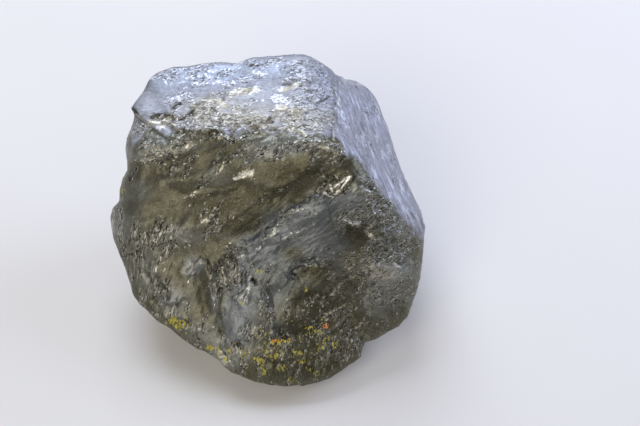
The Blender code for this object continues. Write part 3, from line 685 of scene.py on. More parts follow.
def add_masks(lump, origin):
    """Numbers on the vertices that the material reads."""
    mesh = lump.data
    count = len(mesh.vertices)
    co = np.empty(count * 3)
    mesh.vertices.foreach_get("co", co)
    co = co.reshape(-1, 3)
    normal = np.empty(count * 3)
    mesh.vertices.foreach_get("normal", normal)
    normal = normal.reshape(-1, 3)
    ends = np.empty(len(mesh.edges) * 2, dtype=np.int32)
    mesh.edges.foreach_get("vertices", ends)
    a, b = ends[0::2], ends[1::2]

    points = co / MM + origin
    ways = points - CENTRE
    ways /= np.linalg.norm(ways, axis=1)[:, None]
    _, facing = shape_of(ways)
    across, up, _ = on_plane(points)
    sight = SIGHT - points
    sight /= np.linalg.norm(sight, axis=1)[:, None]
    rear = 1.0 - ease(-0.15, 0.15, (facing * sight).sum(1))
    top, side_face, front = zones(across, up)
    rough = roughness_map(across, up, top, side_face, front, rear)

    # how hollow each place is, at two scales; the material darkens the hollows with it as painted shade
    hollows = []
    for rounds in (4, 40):
        smooth = np.stack([spread(points[:, k], a, b, count, rounds) for k in range(3)], 1)
        hollows.append(((smooth - points) * normal).sum(1))
    small = np.clip(hollows[0] / 0.10, -1, 1)
    wide = np.clip(hollows[1] / 0.35, -1, 1)

    ragged_a = across + 0.5 * noise(points / 1.3 + 7.0)
    ragged_b = up + 0.5 * noise(points / 1.3 + 57.0)
    crust, orange = np.zeros(count), np.zeros(count)
    for x, y, rx, ry, amount in CRUST:
        crust += amount * np.exp(-((ragged_a - x) / rx) ** 2 - ((ragged_b - y) / ry) ** 2)
    for x, y, rx, ry, amount in ORANGE:
        orange += amount * np.exp(-((ragged_a - x) / rx) ** 2 - ((ragged_b - y) / ry) ** 2)
    tone, warm = np.zeros(count), np.zeros(count)
    for x, y, rx, ry, amount in TONE:
        tone += amount * np.exp(-((ragged_a - x) / rx) ** 2 - ((ragged_b - y) / ry) ** 2)
    for line, width, amount in TONE_LINES:
        far, _, _ = from_line(ragged_a, ragged_b, line)
        tone += amount * np.exp(-(far / width) ** 2)
    for x, y, rx, ry, amount in WARM:
        warm += amount * np.exp(-((ragged_a - x) / rx) ** 2 - ((ragged_b - y) / ry) ** 2)
    gold, cool = np.zeros(count), np.zeros(count)
    lined = []
    for table in (CREAM_LINES, BLUE_LINES, CRACK_SHADE_LINES):
        value = np.zeros(count)
        for line, width, amount in table:
            far, _, along = from_line(across + 0.3 * noise(points / 1.1 + 7.0),
                                      up + 0.3 * noise(points / 1.1 + 57.0), line)
            value = np.maximum(value, amount * np.exp(-(far / width) ** 2))
        lined.append(value)
    cream, blue, crack = lined
    gold += cream
    for x, y, rx, ry, amount in COOL:
        cool += amount * np.exp(-((ragged_a - x) / rx) ** 2 - ((ragged_b - y) / ry) ** 2)
    for x, y, rx, ry, amount in GOLD:
        gold += amount * np.exp(-((ragged_a - x) / rx) ** 2 - ((ragged_b - y) / ry) ** 2)
    turned = (facing * sight).sum(1) + 0.22 * noise(points / 5.0 + 91.0) + 0.12 * noise(points / 1.6 + 95.0)
    away = 1.0 - ease(-0.60, -0.04, turned)
    away_side = 1.0 - ease(-1.05, -0.05, turned + 0.2 * noise(points / 9.0 + 99.0))
    seen, seen_side = 1 - away, 1 - away_side
    top, side_face, front = zones(across + 0.9 * noise(points / 3.0 + 3.0) + 0.5 * noise(points / 1.0 + 6.0),
                                  up + 2.4 * noise(points / 4.5 + 61.0) + 1.0 * noise(points / 1.2 + 64.0))
    flank = front * (1.0 - ease(-0.40, 0.06, turned)) * ease(22.0, 34.0, across + 2.5 * noise(points / 5.0 + 71.0))
    front, side_face = front - flank, side_face + flank
    away = away + (away_side - away) * side_face
    shares = (front * seen, top * seen, side_face * seen_side, away)
    lay = grain_ways(points, across, up)
    chip, streak = np.zeros(count), np.zeros(count)
    for k, share in enumerate(shares):
        p = lay[k] + 0.9 * np.stack([noise(lay[k] / 8.0 + s + 5.0 * k) for s in (2.0, 7.0, 13.0)], 1)
        chip += share * chipped(p, rough, 5.0 * k)
        streak += share * layered(p / (9.0, 1.1, 5.0) + 5.0 * k + 40, 2)
        mesh.attributes.new(f"lay_{k}", "FLOAT_VECTOR", "POINT").data.foreach_set(
            "vector", np.ascontiguousarray(p, dtype=np.float32).ravel())
    fields = {"shine": np.maximum(cream, blue) * seen, "crack": crack * seen,
              "chip": chip, "streak": streak, "gold": gold * seen,
              "cool": np.minimum(cool, 1.0) * seen, "top": top * seen,
              "side": side_face * seen_side, "hollow": small, "hollow_wide": wide,
              "crust": crust * seen, "orange": orange * seen,
              "tone": tone * seen, "warm": warm * seen, "rear": away}
    for name, values in fields.items():
        mesh.attributes.new(name, "FLOAT", "POINT").data.foreach_set(
            "value", np.ascontiguousarray(values, dtype=np.float32))


# yellow crust: across, up, reach across, reach up, strength
CRUST = [
    (-38.1, 7.4, 1.0, 1.2, 1.0), (-22.8, -13.3, 0.7, 0.7, 1.0), (-2, -12.8, 1.0, 0.6, 1.1),
    (-6.7, -20.7, 0.5, 0.9, 1.0), (-24.3, -25.3, 1.6, 0.9, 1.5), (-22.5, -27, 1.2, 0.6, 1.2),
    (-21.4, -25.8, 0.8, 0.6, 1.0), (-14.4, -32.2, 1.6, 0.7, 1.25), (-12.4, -33.6, 0.8, 1.0, 1.25),
    (-11.2, -35.2, 0.6, 0.9, 1.2), (-9.7, -33.5, 0.7, 0.9, 1.1), (-8.7, -30.7, 0.6, 0.5, 1.0),
    (-6.4, -33, 0.9, 0.6, 1.0), (-2.4, -35.4, 1.3, 0.7, 1.15), (-1.2, -36.7, 0.7, 0.6, 1.15),
    (-0.3, -33, 0.6, 0.5, 1.0), (1.5, -30.7, 1.2, 0.5, 1.2), (4.4, -30.6, 1.2, 0.5, 1.2),
    (2.3, -33.8, 1.0, 0.6, 1.1), (-1, -38.9, 0.6, 0.6, 1.0), (3.3, -37.6, 1.2, 0.6, 1.0),
    (5.9, -40.7, 1.4, 0.5, 1.0), (12.5, -38.9, 1.3, 0.7, 1.0), (10.8, -37.6, 0.8, 0.5, 1.0),
    (9.7, -17.4, 0.8, 0.8, 1.1), (12.4, -28.2, 0.9, 0.8, 0.9), (15, -30, 1.0, 1.2, 0.9),
    (17, -31.6, 0.8, 0.8, 0.9), (13.6, -32, 1.0, 0.7, 0.8), (11, -27, 0.8, 0.6, 0.8),
    (7.6, -33.6, 1.6, 0.7, 0.8), (8.6, -35.9, 1.0, 0.6, 0.8), (0, -28.6, 0.8, 0.5, 0.7),
    (6, -25.6, 0.7, 0.6, 0.7), (14, -25.4, 0.8, 0.5, 0.7), (-15.6, -8.2, 0.4, 0.4, 0.6),
    (8, -31, 11, 6, 0.28),          # scattered over the foot
    (-3, -33, 7, 5, 0.26),
    (-23, -25, 5, 3, 0.30),
]
ORANGE = [(14.8, -26.6, 0.9, 0.6, 1.4), (2, -30.4, 1.4, 0.7, 0.8), (5, -30.8, 1.2, 0.6, 0.7)]
# lighter (+) and darker (-) places, partly the stone's own tone and partly painted light and shade (the darkened pit
# and hollows, the lightened rims): across, up, reach across, reach up, amount
TONE = [
    # below the crest and on the upper slabs
    (-29, 18, 7, 3.6, 0.75), (-32, 19.5, 4, 3.4, 0.5), (-24, 19.5, 8, 2, 0.5), (-10, 20.5, 8, 2.0, 0.1),
    (-15, 20, 3, 2, 0.0), (-12, 13, 4, 2.4, 0.3), (5, 20, 9, 2.6, 0.8), (-1, 17.6, 6, 2.4, 0.5), (-24, 12, 9, 3, -0.15),
    (-26, 8, 8, 3, -0.15), (-30, 12.8, 4, 3, -0.35), (-33, 8, 3.6, 5, 0.55), (-22, 8.7, 4, 2.4, 0.2),
    (-12.6, 9.4, 4, 2.6, 0.5), (5, 16.6, 3, 1.6, 0.3), (8, 12.5, 9, 3.2, -0.52), (4, 14.5, 5, 2.5, -0.45), (18, 15, 4, 2.2, -0.1),
    (14, 13, 3.4, 2.6, 0.5), (9, 19, 4, 2, 0.2), (0, 7.5, 8, 3.5, -0.5), (8, 5.6, 4, 3, -0.7), (-7, 2, 5, 5, -0.3),
    (-5, 1, 6, 4, -0.4), (-13, 4.4, 6, 4, -0.68),
    # left flank
    (-38, 4, 2, 8, 0.4), (-36.6, -2, 3, 4, 0.75), (-32, 8.7, 2.4, 2.6, 0.3), (-26, -3, 8, 4, 0.35), (-21, -3.8, 5, 2.4, 0.45),
    (-31, -8.4, 4, 4, 0.45), (-32, -14, 4, 4, 0.6), (-23, -16, 3, 3, -0.25), (-25, -20, 4, 5, 0.75),
    (-23.8, -20, 4, 4, 0.2),
    # broad ridge and below it
    (-4, -7, 6, 3.5, 0.1), (6, 0.5, 8, 3.0, 0.25), (12, 4, 5, 2.4, 0.5), (8.4, -3.4, 3, 2.2, 0.3),
    (13.4, -4.8, 3, 2, -0.1), (6, -8, 4, 3, -0.35), (11.4, -12.3, 3.8, 2.0, -0.95), (13, -8, 3.6, 2, 0.3),
    (14, -15.8, 4, 2, 0.4), (13.6, -8, 2.6, 2, 0.3),
    # right
    (22, 6.5, 5, 5, 0.75), (28, 4, 5, 5, 0.65), (31.6, -1, 5, 4, 0.85), (14, 4.6, 2.6, 2, 0.4), (22, -3.4, 6, 2.2, -0.25), (24.2, -3, 4.4, 1.7, -0.7),
    (16, -6, 5, 3, 0.0), (19, -4.6, 3, 1.6, 0.25), (29.4, -12.2, 4.6, 2.4, 2.3), (22, -13, 4, 5, -0.1),
    (18.6, -11.6, 3, 3, 0.6), (33, -10, 5, 5, 0.35), (33, -17, 5, 5, 0.35), (27.4, -20, 5, 5, 0.8),
    # finger, folds and slab
    (-16.2, -17, 1.8, 5, -0.45), (-19.3, -10.8, 2.6, 2.2, 0.6), (-18.4, -11.8, 2, 1.6, 0.3),
    (-10.4, -13.6, 3.6, 4.6, 0.55), (-6.4, -14.5, 2.2, 8, 0.15), (-9, -24.6, 3, 6, 0.8),
    (-17.6, -28, 4, 3, 0.75), (0.4, -22.6, 3.4, 4, 0.6),
    # foot
    (13, -19, 8, 4, -0.35), (8.2, -20, 5, 4, -0.42), (5, -27.5, 8, 2.6, -0.6), (20, -30, 8, 6, -0.2),
    (4, -37, 14, 5, -0.5), (-8, -34, 6, 5, 0.85), (-12, -33.8, 3, 2.4, 0.3), (-4, -29, 3, 3, 0.5), (13.6, -24, 3, 3, -0.5), (9, -19, 3, 2, -0.2),
    (5.6, -32, 4, 2.4, -0.2),
    (5, -24.4, 3, 2, -0.5), (10, -28, 3, 2.4, -0.6), (14, -20, 3, 2.4, -0.6), (7, -8, 4, 3, -0.4),
    (-9, -16, 2.4, 3, 0.2), (-6, -1, 5, 4, -0.3), (-22.8, 17, 2.6, 2, -0.35), (20, -27, 5, 3, -0.3), (-36, -8, 3, 4, -0.2), (-12, -34, 5, 5, 0.35),
    # top band
    (-30.7, 31.2, 4, 3, 0.8), (-20.7, 35, 4, 1.6, -0.7), (1.8, 34.3, 5, 2, 0.5), (-1, 31.7, 2.6, 1.6, 0.4),
    (11.3, 39.9, 6, 3, 0.9), (11.3, 28.7, 4, 5, 0.8), (3.6, 26.6, 6, 2, 0.8), (16, 35, 5, 4, 0.4),
]
# the same along lines, also partly painted shade (the cleft) and painted light (the rim of the pit): line, width,
# amount
TONE_LINES = [
    ([(-14.2, -12.3), (-13.9, -17), (-13.6, -23)], 0.6, 0.85), ([(-16.6, -13.2), (-16, -17), (-15, -23)], 0.9, -0.12),
    ([(-12.6, -13), (-12.6, -18), (-12.2, -24)], 0.4, -0.7), ([(-21, -13), (-19.4, -10.9), (-16.8, -10.6)], 1.0, 0.7),
    ([(-9, -7.6), (-3.3, -4.2), (1, -1.2), (5.4, 3.4), (10, 5)], 0.9, 0.3), ([(-6, -9.4), (0, -6), (6, -1.6)], 0.8, 0.35),
    ([(-29, 10), (-22, 10.4), (-14, 13.4)], 0.8, 0.3), ([(-24, 4), (-16, 7.4), (-8, 9)], 1.0, -0.35),
    ([(2, 7.2), (6, 9.8), (10, 13)], 1.0, -0.5), ([(-16, 16), (-8, 19.6)], 1.2, -0.45), ([(-6, 14), (0, 17.4)], 0.9, 0.3),
    ([(12, 13), (17, 12), (20, 12.6)], 1.1, -0.6), ([(5.6, -12.8), (8.2, -10.9), (12.4, -9.9)], 0.7, 1.3),
]
# brownish places
WARM = [
    (14, -22, 12, 7, 0.6), (30, -12, 5, 3, 0.9), (-26, -9, 9, 4, 0.5), (20, -14, 9, 7, 0.4),
    (4, 12, 9, 3, 0.45), (-14, 12, 12, 5, 0.3), (6, -35, 14, 5, 0.6), (-25, -17, 4, 4, 0.4),
    (-5, 1, 6, 4, 0.4), (23, -6, 5, 4, 0.5), (28, 0, 3, 2.4, 0.7), (-16, -17, 1.4, 4.5, 0.9), (20, -28, 6, 4, 0.9), (-36, -9, 4, 6, 0.9), (-13, 30, 5, 3, 0.9), (4, 27, 8, 3, 0.5),
    (1, 26.5, 12, 3.2, 0.9), (-10, 27.5, 10, 3.4, 0.5), (-28, 25, 5, 2.6, 0.6), (-34, 24, 3, 4, 0.6), (10, 25.5, 9, 3, 0.4),
    (-18, 27, 8, 4, 0.6), (-6, 33, 4, 1.6, 0.6), (12, 27, 5, 3, 0.7),
]


# bluish grey places on the front, and on the top band (the last five), where the bluer tone is painted sky reflection
COOL = [
    (6.4, 0.2, 8, 3.6, 0.9), (-2.6, -7.4, 6, 4, 0.9), (13.3, 4.6, 6, 3.5, 0.8), (8.2, -6, 11, 7, 0.8),
    (17, -4, 6, 4, 0.4), (-5.6, -14.8, 3, 9, 0.9), (-8.2, -25, 4, 8, 0.9), (4.4, -27.6, 7, 3, 0.8),
    (3, -17.4, 8, 6, 0.7), (22, 5.5, 5, 4, 0.6), (27, -15, 6, 6, 0.45), (-18.7, -11.4, 3, 3, 0.6),
    (-24, -20, 7, 7, 0.4), (-14, -19, 1.2, 5, 0.5), (-39.5, 2, 1.6, 9, 0.4), (-33, 0.5, 5, 4, 0.2), (31, -3, 6, 5, 0.5),
    (3, 18.5, 6, 2.2, 0.45), (-14, 15, 3, 3, 0.3), (31, -11.8, 7, 4, -2.0), (20, -28, 6, 4, -0.8), (11.5, -12.8, 3.0, 1.4, -0.5), (24, -3, 4, 2, -0.6),
    (-14, 38, 13, 2.6, 1.0), (-28, 34, 4, 3, 0.4), (21, 37, 9, 3.4, 0.8), (4, 39, 10, 2, 0.6), (15, 31, 4, 4, 0.3),
]
# thin lines painted as highlights (cream or blue white), and thin lines painted dark as the shade in cracks, folds,
# pockets and the pit: line, width, amount
CREAM_LINES = [
    ([(-8.6, 11), (-6, 11.9)], 0.36, 2.3), ([(-6.4, 11.9), (-4.1, 12.8)], 0.62, 2.4),
    ([(15.6, 9.6), (16.5, 7.9)], 0.24, 2.3), ([(17.2, 7.2), (18.3, 8.1)], 0.26, 2.3), ([(19.0, 9.0), (20.9, 11.2)], 0.27, 2.4),
    ([(17.2, 9.2), (18.2, 9.7)], 0.26, 2.2), ([(18.8, 10.1), (19.6, 10.8)], 0.26, 2.2), ([(20, 11.2), (21.2, 11.8)], 0.3, 2.3),
    ([(14.4, 7.4), (15.4, 6.9)], 0.36, 2.1), ([(15.8, 6.7), (16.5, 6.4)], 0.26, 2.0),
    ([(-30.7, 25.6), (-28.2, 25.5), (-24.8, 26.3)], 0.5, 1.5), ([(-9.4, 32.8), (-3, 33.9)], 0.8, 1.1),
    ([(3.4, 33.7), (7.8, 35.2)], 0.6, 1.0), ([(-5.1, 38.4), (-0.3, 37.6)], 0.5, 0.9),
    ([(-4.4, 23.5), (0.2, 25.3)], 0.55, 1.0), ([(5.1, 23.8), (10.2, 22.2)], 0.8, 0.8),
    ([(2.3, 29.4), (8.4, 28.2)], 0.7, 0.9), ([(-14, 31), (-11, 30)], 0.9, 0.7),
    ([(-24, 18), (-19, 19.5)], 0.7, 0.7), ([(-32, 15.5), (-27, 17.5)], 0.7, 0.9),
    ([(-7.1, -18.6), (-6.3, -21.8)], 0.3, 0.4), ([(-3.9, -28), (-2.5, -27.4)], 0.5, 1.0),
    ([(-11.9, -11.4), (-10.9, -16.1)], 0.32, 1.0), ([(-9.8, -10), (-9, -16)], 0.32, 1.0),
    ([(-7.8, -9), (-7, -15)], 0.3, 0.6), ([(-28.5, -3.6), (-23, -1.2)], 0.5, 0.6),
    ([(-31, -5.4), (-27.6, -4.6)], 0.5, 0.6), ([(-17, 0.2), (-12.6, 2.4)], 0.5, 0.6),
    ([(-14.6, 10.6), (-10.6, 15.4)], 0.45, 0.5), ([(-21, 6.4), (-16.4, 9)], 0.5, 0.5),
    ([(14.6, -23.8), (19.7, -21.2)], 0.35, 0.8), ([(25, -2.6), (28.6, -5)], 0.7, 0.7),
    ([(-12.6, -33.2), (-11, -36)], 0.7, 1.0),
]
BLUE_LINES = [
    ([(13, 19.4), (15.4, 19), (18.2, 18)], 0.5, 1.0), ([(23.6, 8.2), (26.9, 6.9)], 0.8, 1.0),
    ([(19.6, 0.6), (21.4, -0.5), (23.2, -0.4)], 0.55, 1.4),
    ([(-3.3, -7.4), (1, -3.6), (2, -1.3), (4.9, 2.6), (10.2, 3.8)], 0.4, 0.7),
    ([(-8.4, -8.4), (-5.9, -8.9)], 0.4, 1.0), ([(3.1, -4.6), (8.7, -2), (12, -0.3)], 0.45, 0.6),
    ([(-21.4, -26.7), (-18.9, -27.2)], 0.45, 1.1), ([(-4.1, -10.2), (-5.0, -16.1), (-5.8, -21.2)], 0.35, 0.4), ([(-4.8, -16.4), (-5.6, -20.4)], 0.3, 0.6),
    ([(-29.4, 24.6), (-27, 24.6)], 0.8, 1.1), ([(-24.4, 31), (-22.4, 31.8)], 1.1, 0.8),
    ([(1.6, 31.7), (8.4, 30)], 0.9, 1.1), ([(-19.2, 35.6), (-9, 35.7)], 0.45, 0.8),
    ([(-14.1, 22.5), (-12, 21.6), (-9.2, 23.4), (-6.4, 24.6)], 0.55, 0.9),
    ([(18.7, 28.2), (20, 23.8)], 0.45, 1.1), ([(22.5, 22.3), (22.9, 19.4)], 0.35, 0.8),
    ([(24.2, 21.8), (24.6, 19.4)], 0.35, 0.8), ([(29.2, 17.9), (29.8, 15.6)], 0.4, 0.9),
    ([(30.5, 19.7), (31.3, 16.4)], 0.4, 1.0), ([(27.6, 23.6), (28, 20.8)], 0.35, 0.8),
    ([(31, 7.7), (31.8, 4.2)], 0.4, 0.9), ([(33, 6.9), (33.6, 4.8)], 0.35, 0.8),
    ([(33.4, 11.6), (34.6, 8.6)], 0.4, 0.8), ([(35.4, 3.6), (36.6, 0.4)], 0.4, 0.8),
    ([(19.4, 36.2), (24, 35.2)], 0.8, 0.9), ([(26.6, 14), (27.4, 11.8)], 0.35, 0.7),
    ([(-39.6, 3), (-39.8, -3)], 0.6, 0.8), ([(-31.4, 36.4), (-26, 39)], 0.6, 0.7),
]
CRACK_SHADE_LINES = [
    ([(-17.7, -9.1), (-15.9, -9.4), (-14.6, -11), (-14.4, -13)], 0.28, 1.0),
    ([(-7.9, -31.2), (-6.8, -32.1)], 0.4, 1.2), ([(-3.8, -14.6), (-2.9, -15.9)], 0.5, 1.2),
    ([(-12.2, -27.6), (-11.8, -30)], 0.3, 0.8), ([(-34.6, 28.9), (-33.6, 28)], 0.5, 1.0),
    ([(-37.6, -8.6), (-35, -8.2)], 0.3, 0.8), ([(-29.4, 26.9), (-26.8, 27.2), (-24.6, 26.8)], 0.65, 1.3),
    ([(-4.6, 24.3), (-2, 25.2), (0.6, 26.7)], 0.55, 0.9), ([(-22.8, 26.2), (-20.6, 27), (-19.2, 28.4)], 0.5, 0.8),
    ([(-5.4, 40.1), (-2.6, 40.2)], 0.4, 0.9), ([(-15.4, 22.6), (-13.8, 23.4)], 0.5, 0.8),
    ([(20.2, -1.6), (24.4, -2)], 0.5, 0.5), ([(16.6, 9.4), (17.6, 8.4), (19, 9.8)], 0.3, 1.3), ([(19, 7.6), (20.2, 8.8)], 0.36, 1.3), ([(15.2, 8), (15.8, 7.2)], 0.25, 1.2),
    ([(20.8, 9.4), (22.2, 11.4)], 0.4, 0.9),
    ([(7.6, -14.2), (10.6, -12.8), (13.6, -11.8)], 1.5, 0.5),
    ([(6.4, -31.4), (6.2, -34.6)], 0.3, 0.8), ([(3.4, -30), (5.2, -29.4)], 0.3, 0.8),
    ([(25.4, -10.6), (29.6, -9.6), (33.6, -10.4)], 0.35, 0.5), ([(12.4, 30.4), (15.6, 32)], 0.5, 0.7),
    ([(-24.4, 29.6), (-22.2, 30.2)], 0.4, 0.8), ([(-16.6, 29.4), (-15, 30)], 0.4, 0.6),
    ([(5.6, 2.6), (0.6, -2.6), (-3.6, -6.2)], 0.25, 0.35),
    ([(-12.4, -10), (-11.6, -13), (-10.6, -16.5)], 0.28, 0.9), ([(-10.4, -9.2), (-9.4, -12.4), (-8.2, -16)], 0.28, 0.9),
    ([(-8.6, -8.4), (-7.4, -12), (-6.6, -15)], 0.25, 0.5),
]
# cream and gold reflections
GOLD = [
    (-6.1, 33.5, 3.0, 0.9, 0.9), (5.6, 32.6, 3.2, 1.2, 0.9), (-18.2, 29.4, 3.4, 2.0, 0.5),
    (-11.8, 30, 2.6, 2.0, 0.6), (0.5, 27.6, 4.5, 1.8, 0.7), (7, 26.6, 4, 2, 0.6),
    (-26.4, 26.2, 2.6, 1.2, 0.9), (-4.6, 26.1, 4.0, 1.6, 0.6), (17.2, 9.0, 3.0, 1.6, 0.75),
    (-5.9, 12.3, 2.6, 1.1, 0.8), (-15, 26, 4, 2.4, 0.5), (4.4, 36, 3, 0.8, 0.5),
    (-27, 18.5, 5, 2.6, 0.6), (26, 5.5, 2, 2, 0.6), (-3, -28.4, 2.4, 1.6, 0.6),
    (-26.4, -3.5, 6, 4, 0.35), (-9.5, -13, 4, 5, 0.4), (12, -21, 5, 3, 0.3),
]


# ================================================================ materials
class Net:
    """A small helper for wiring shader nodes."""

    def __init__(self, name):
        self.material = bpy.data.materials.new(name)
        self.material.use_nodes = True
        self.tree = self.material.node_tree
        self.tree.nodes.clear()
        self.row = 0

    def add(self, kind, **settings):
        node = self.tree.nodes.new(kind)
        self.row += 1
        node.location = (-1800 + 190 * (self.row % 9), 900 - 210 * (self.row // 9))
        for key, value in settings.items():
            setattr(node, key, value)
        return node

    def put(self, socket, value):
        if isinstance(value, bpy.types.NodeSocket):
            self.tree.links.new(value, socket)
        else:
            socket.default_value = value

    def field(self, name):
        return self.add("ShaderNodeAttribute", attribute_name=name,
                        attribute_type="GEOMETRY").outputs["Fac"]

    def math(self, operation, a, b=0.0, c=0.0, clamp=False):
        node = self.add("ShaderNodeMath", operation=operation, use_clamp=clamp)
        for socket, value in zip(node.inputs, (a, b, c)):
            self.put(socket, value)
        return node.outputs[0]

    def span(self, value, low, high, to_low=0.0, to_high=1.0, smooth=True):
        node = self.add("ShaderNodeMapRange",
                        interpolation_type="SMOOTHSTEP" if smooth else "LINEAR")
        for name, v in (("Value", value), ("From Min", low), ("From Max", high),
                        ("To Min", to_low), ("To Max", to_high)):
            self.put(node.inputs[name], v)
        return node.outputs["Result"]

    def scaled(self, vector, scale):
        node = self.add("ShaderNodeVectorMath", operation="MULTIPLY")
        self.put(node.inputs[0], vector)
        node.inputs[1].default_value = scale
        return node.outputs[0]

    def noise(self, vector, scale, detail=3.0, rough=0.55, distortion=0.0):
        node = self.add("ShaderNodeTexNoise")
        self.put(node.inputs["Vector"], vector)
        node.inputs["Scale"].default_value = scale
        node.inputs["Detail"].default_value = detail
        node.inputs["Roughness"].default_value = rough
        node.inputs["Distortion"].default_value = distortion
        return node.outputs["Fac"]

    def voronoi(self, vector, scale, feature="F1", out="Color", randomness=1.0):
        node = self.add("ShaderNodeTexVoronoi", feature=feature)
        self.put(node.inputs["Vector"], vector)
        node.inputs["Scale"].default_value = scale
        node.inputs["Randomness"].default_value = randomness
        return node.outputs[out]

    def mix(self, share, a, b, blend="MIX"):
        node = self.add("ShaderNodeMix", data_type="RGBA", blend_type=blend)
        self.put(node.inputs[0], share)
        self.put(node.inputs[6], a)
        self.put(node.inputs[7], b)
        return node.outputs[2]

    def blend(self, share, a, b):
        node = self.add("ShaderNodeMix", data_type="FLOAT")
        self.put(node.inputs[0], share)
        self.put(node.inputs[2], a)
        self.put(node.inputs[3], b)
        return node.outputs[0]


def rgb(r, g, b):
    return (r, g, b, 1.0)


# the front's olive greys: the shaded copy of the same graphite, painted shade, darker and olive where the front turns
# away from the windows
OLIVE, DUN, PALE = rgb(0.102, 0.094, 0.054), rgb(0.121, 0.113, 0.073), rgb(0.166, 0.160, 0.114)
DARK_OLIVE, BROWN, TONE_PALE = rgb(0.061, 0.0555, 0.031), rgb(0.124, 0.101, 0.058), rgb(0.254, 0.253, 0.218)
BLUE_GREY, BLUE_PALE, CHIPPED = rgb(0.136, 0.145, 0.150), rgb(0.182, 0.195, 0.198), rgb(0.209, 0.204, 0.160)
# the silver, side face and top band colours: lit copies of the same graphite, painted sky reflection, lighter and bluer
# where the top band and side face turn to the windows
SMOOTH_SILVER, SILVER = rgb(0.285, 0.292, 0.318), rgb(0.385, 0.385, 0.395)
SILVER_CREAM = rgb(0.395, 0.372, 0.315)
SIDE_SKY_SILVER, SIDE_DULL = rgb(0.38, 0.38, 0.41), rgb(0.32, 0.32, 0.35)
REAR_DARK, REAR_GREY, REAR_PALE = rgb(0.140, 0.137, 0.126), rgb(0.180, 0.179, 0.172), rgb(0.230, 0.230, 0.228)
PALE_LINE, SILVER_LINE, SILVER_DARK = rgb(0.24, 0.235, 0.21), rgb(0.60, 0.62, 0.68), rgb(0.20, 0.195, 0.205)
TOP_PALE, TOP_DARK, TOP_SKY_BLUE = rgb(0.50, 0.505, 0.52), rgb(0.19, 0.195, 0.215), rgb(0.37, 0.405, 0.465)
# painted highlights: glint colours, cream, gold and blue white
GLINT, GLINT_BLUE = rgb(0.57, 0.55, 0.48), rgb(0.68, 0.69, 0.74)
GLINT_GOLD, GLINT_CREAM = rgb(0.86, 0.81, 0.66), rgb(0.68, 0.64, 0.53)
TONE_COOL, SHEEN, TONE_BARE = rgb(0.228, 0.240, 0.245), rgb(1.0, 0.96, 0.85), rgb(0.46, 0.42, 0.345)
# near-black colours for painted shade in tiny pits, cracks, pockets and below plate edges
PAINTED_SHADE, PAINTED_SHADE_GREY, GOLDEN = rgb(0.040, 0.034, 0.020), rgb(0.085, 0.080, 0.066), rgb(0.40, 0.37, 0.28)
CRUST_DARK, CRUST_LIGHT, ORANGE_STAIN = rgb(0.24, 0.20, 0.012), rgb(0.66, 0.57, 0.09), rgb(0.72, 0.22, 0.03)


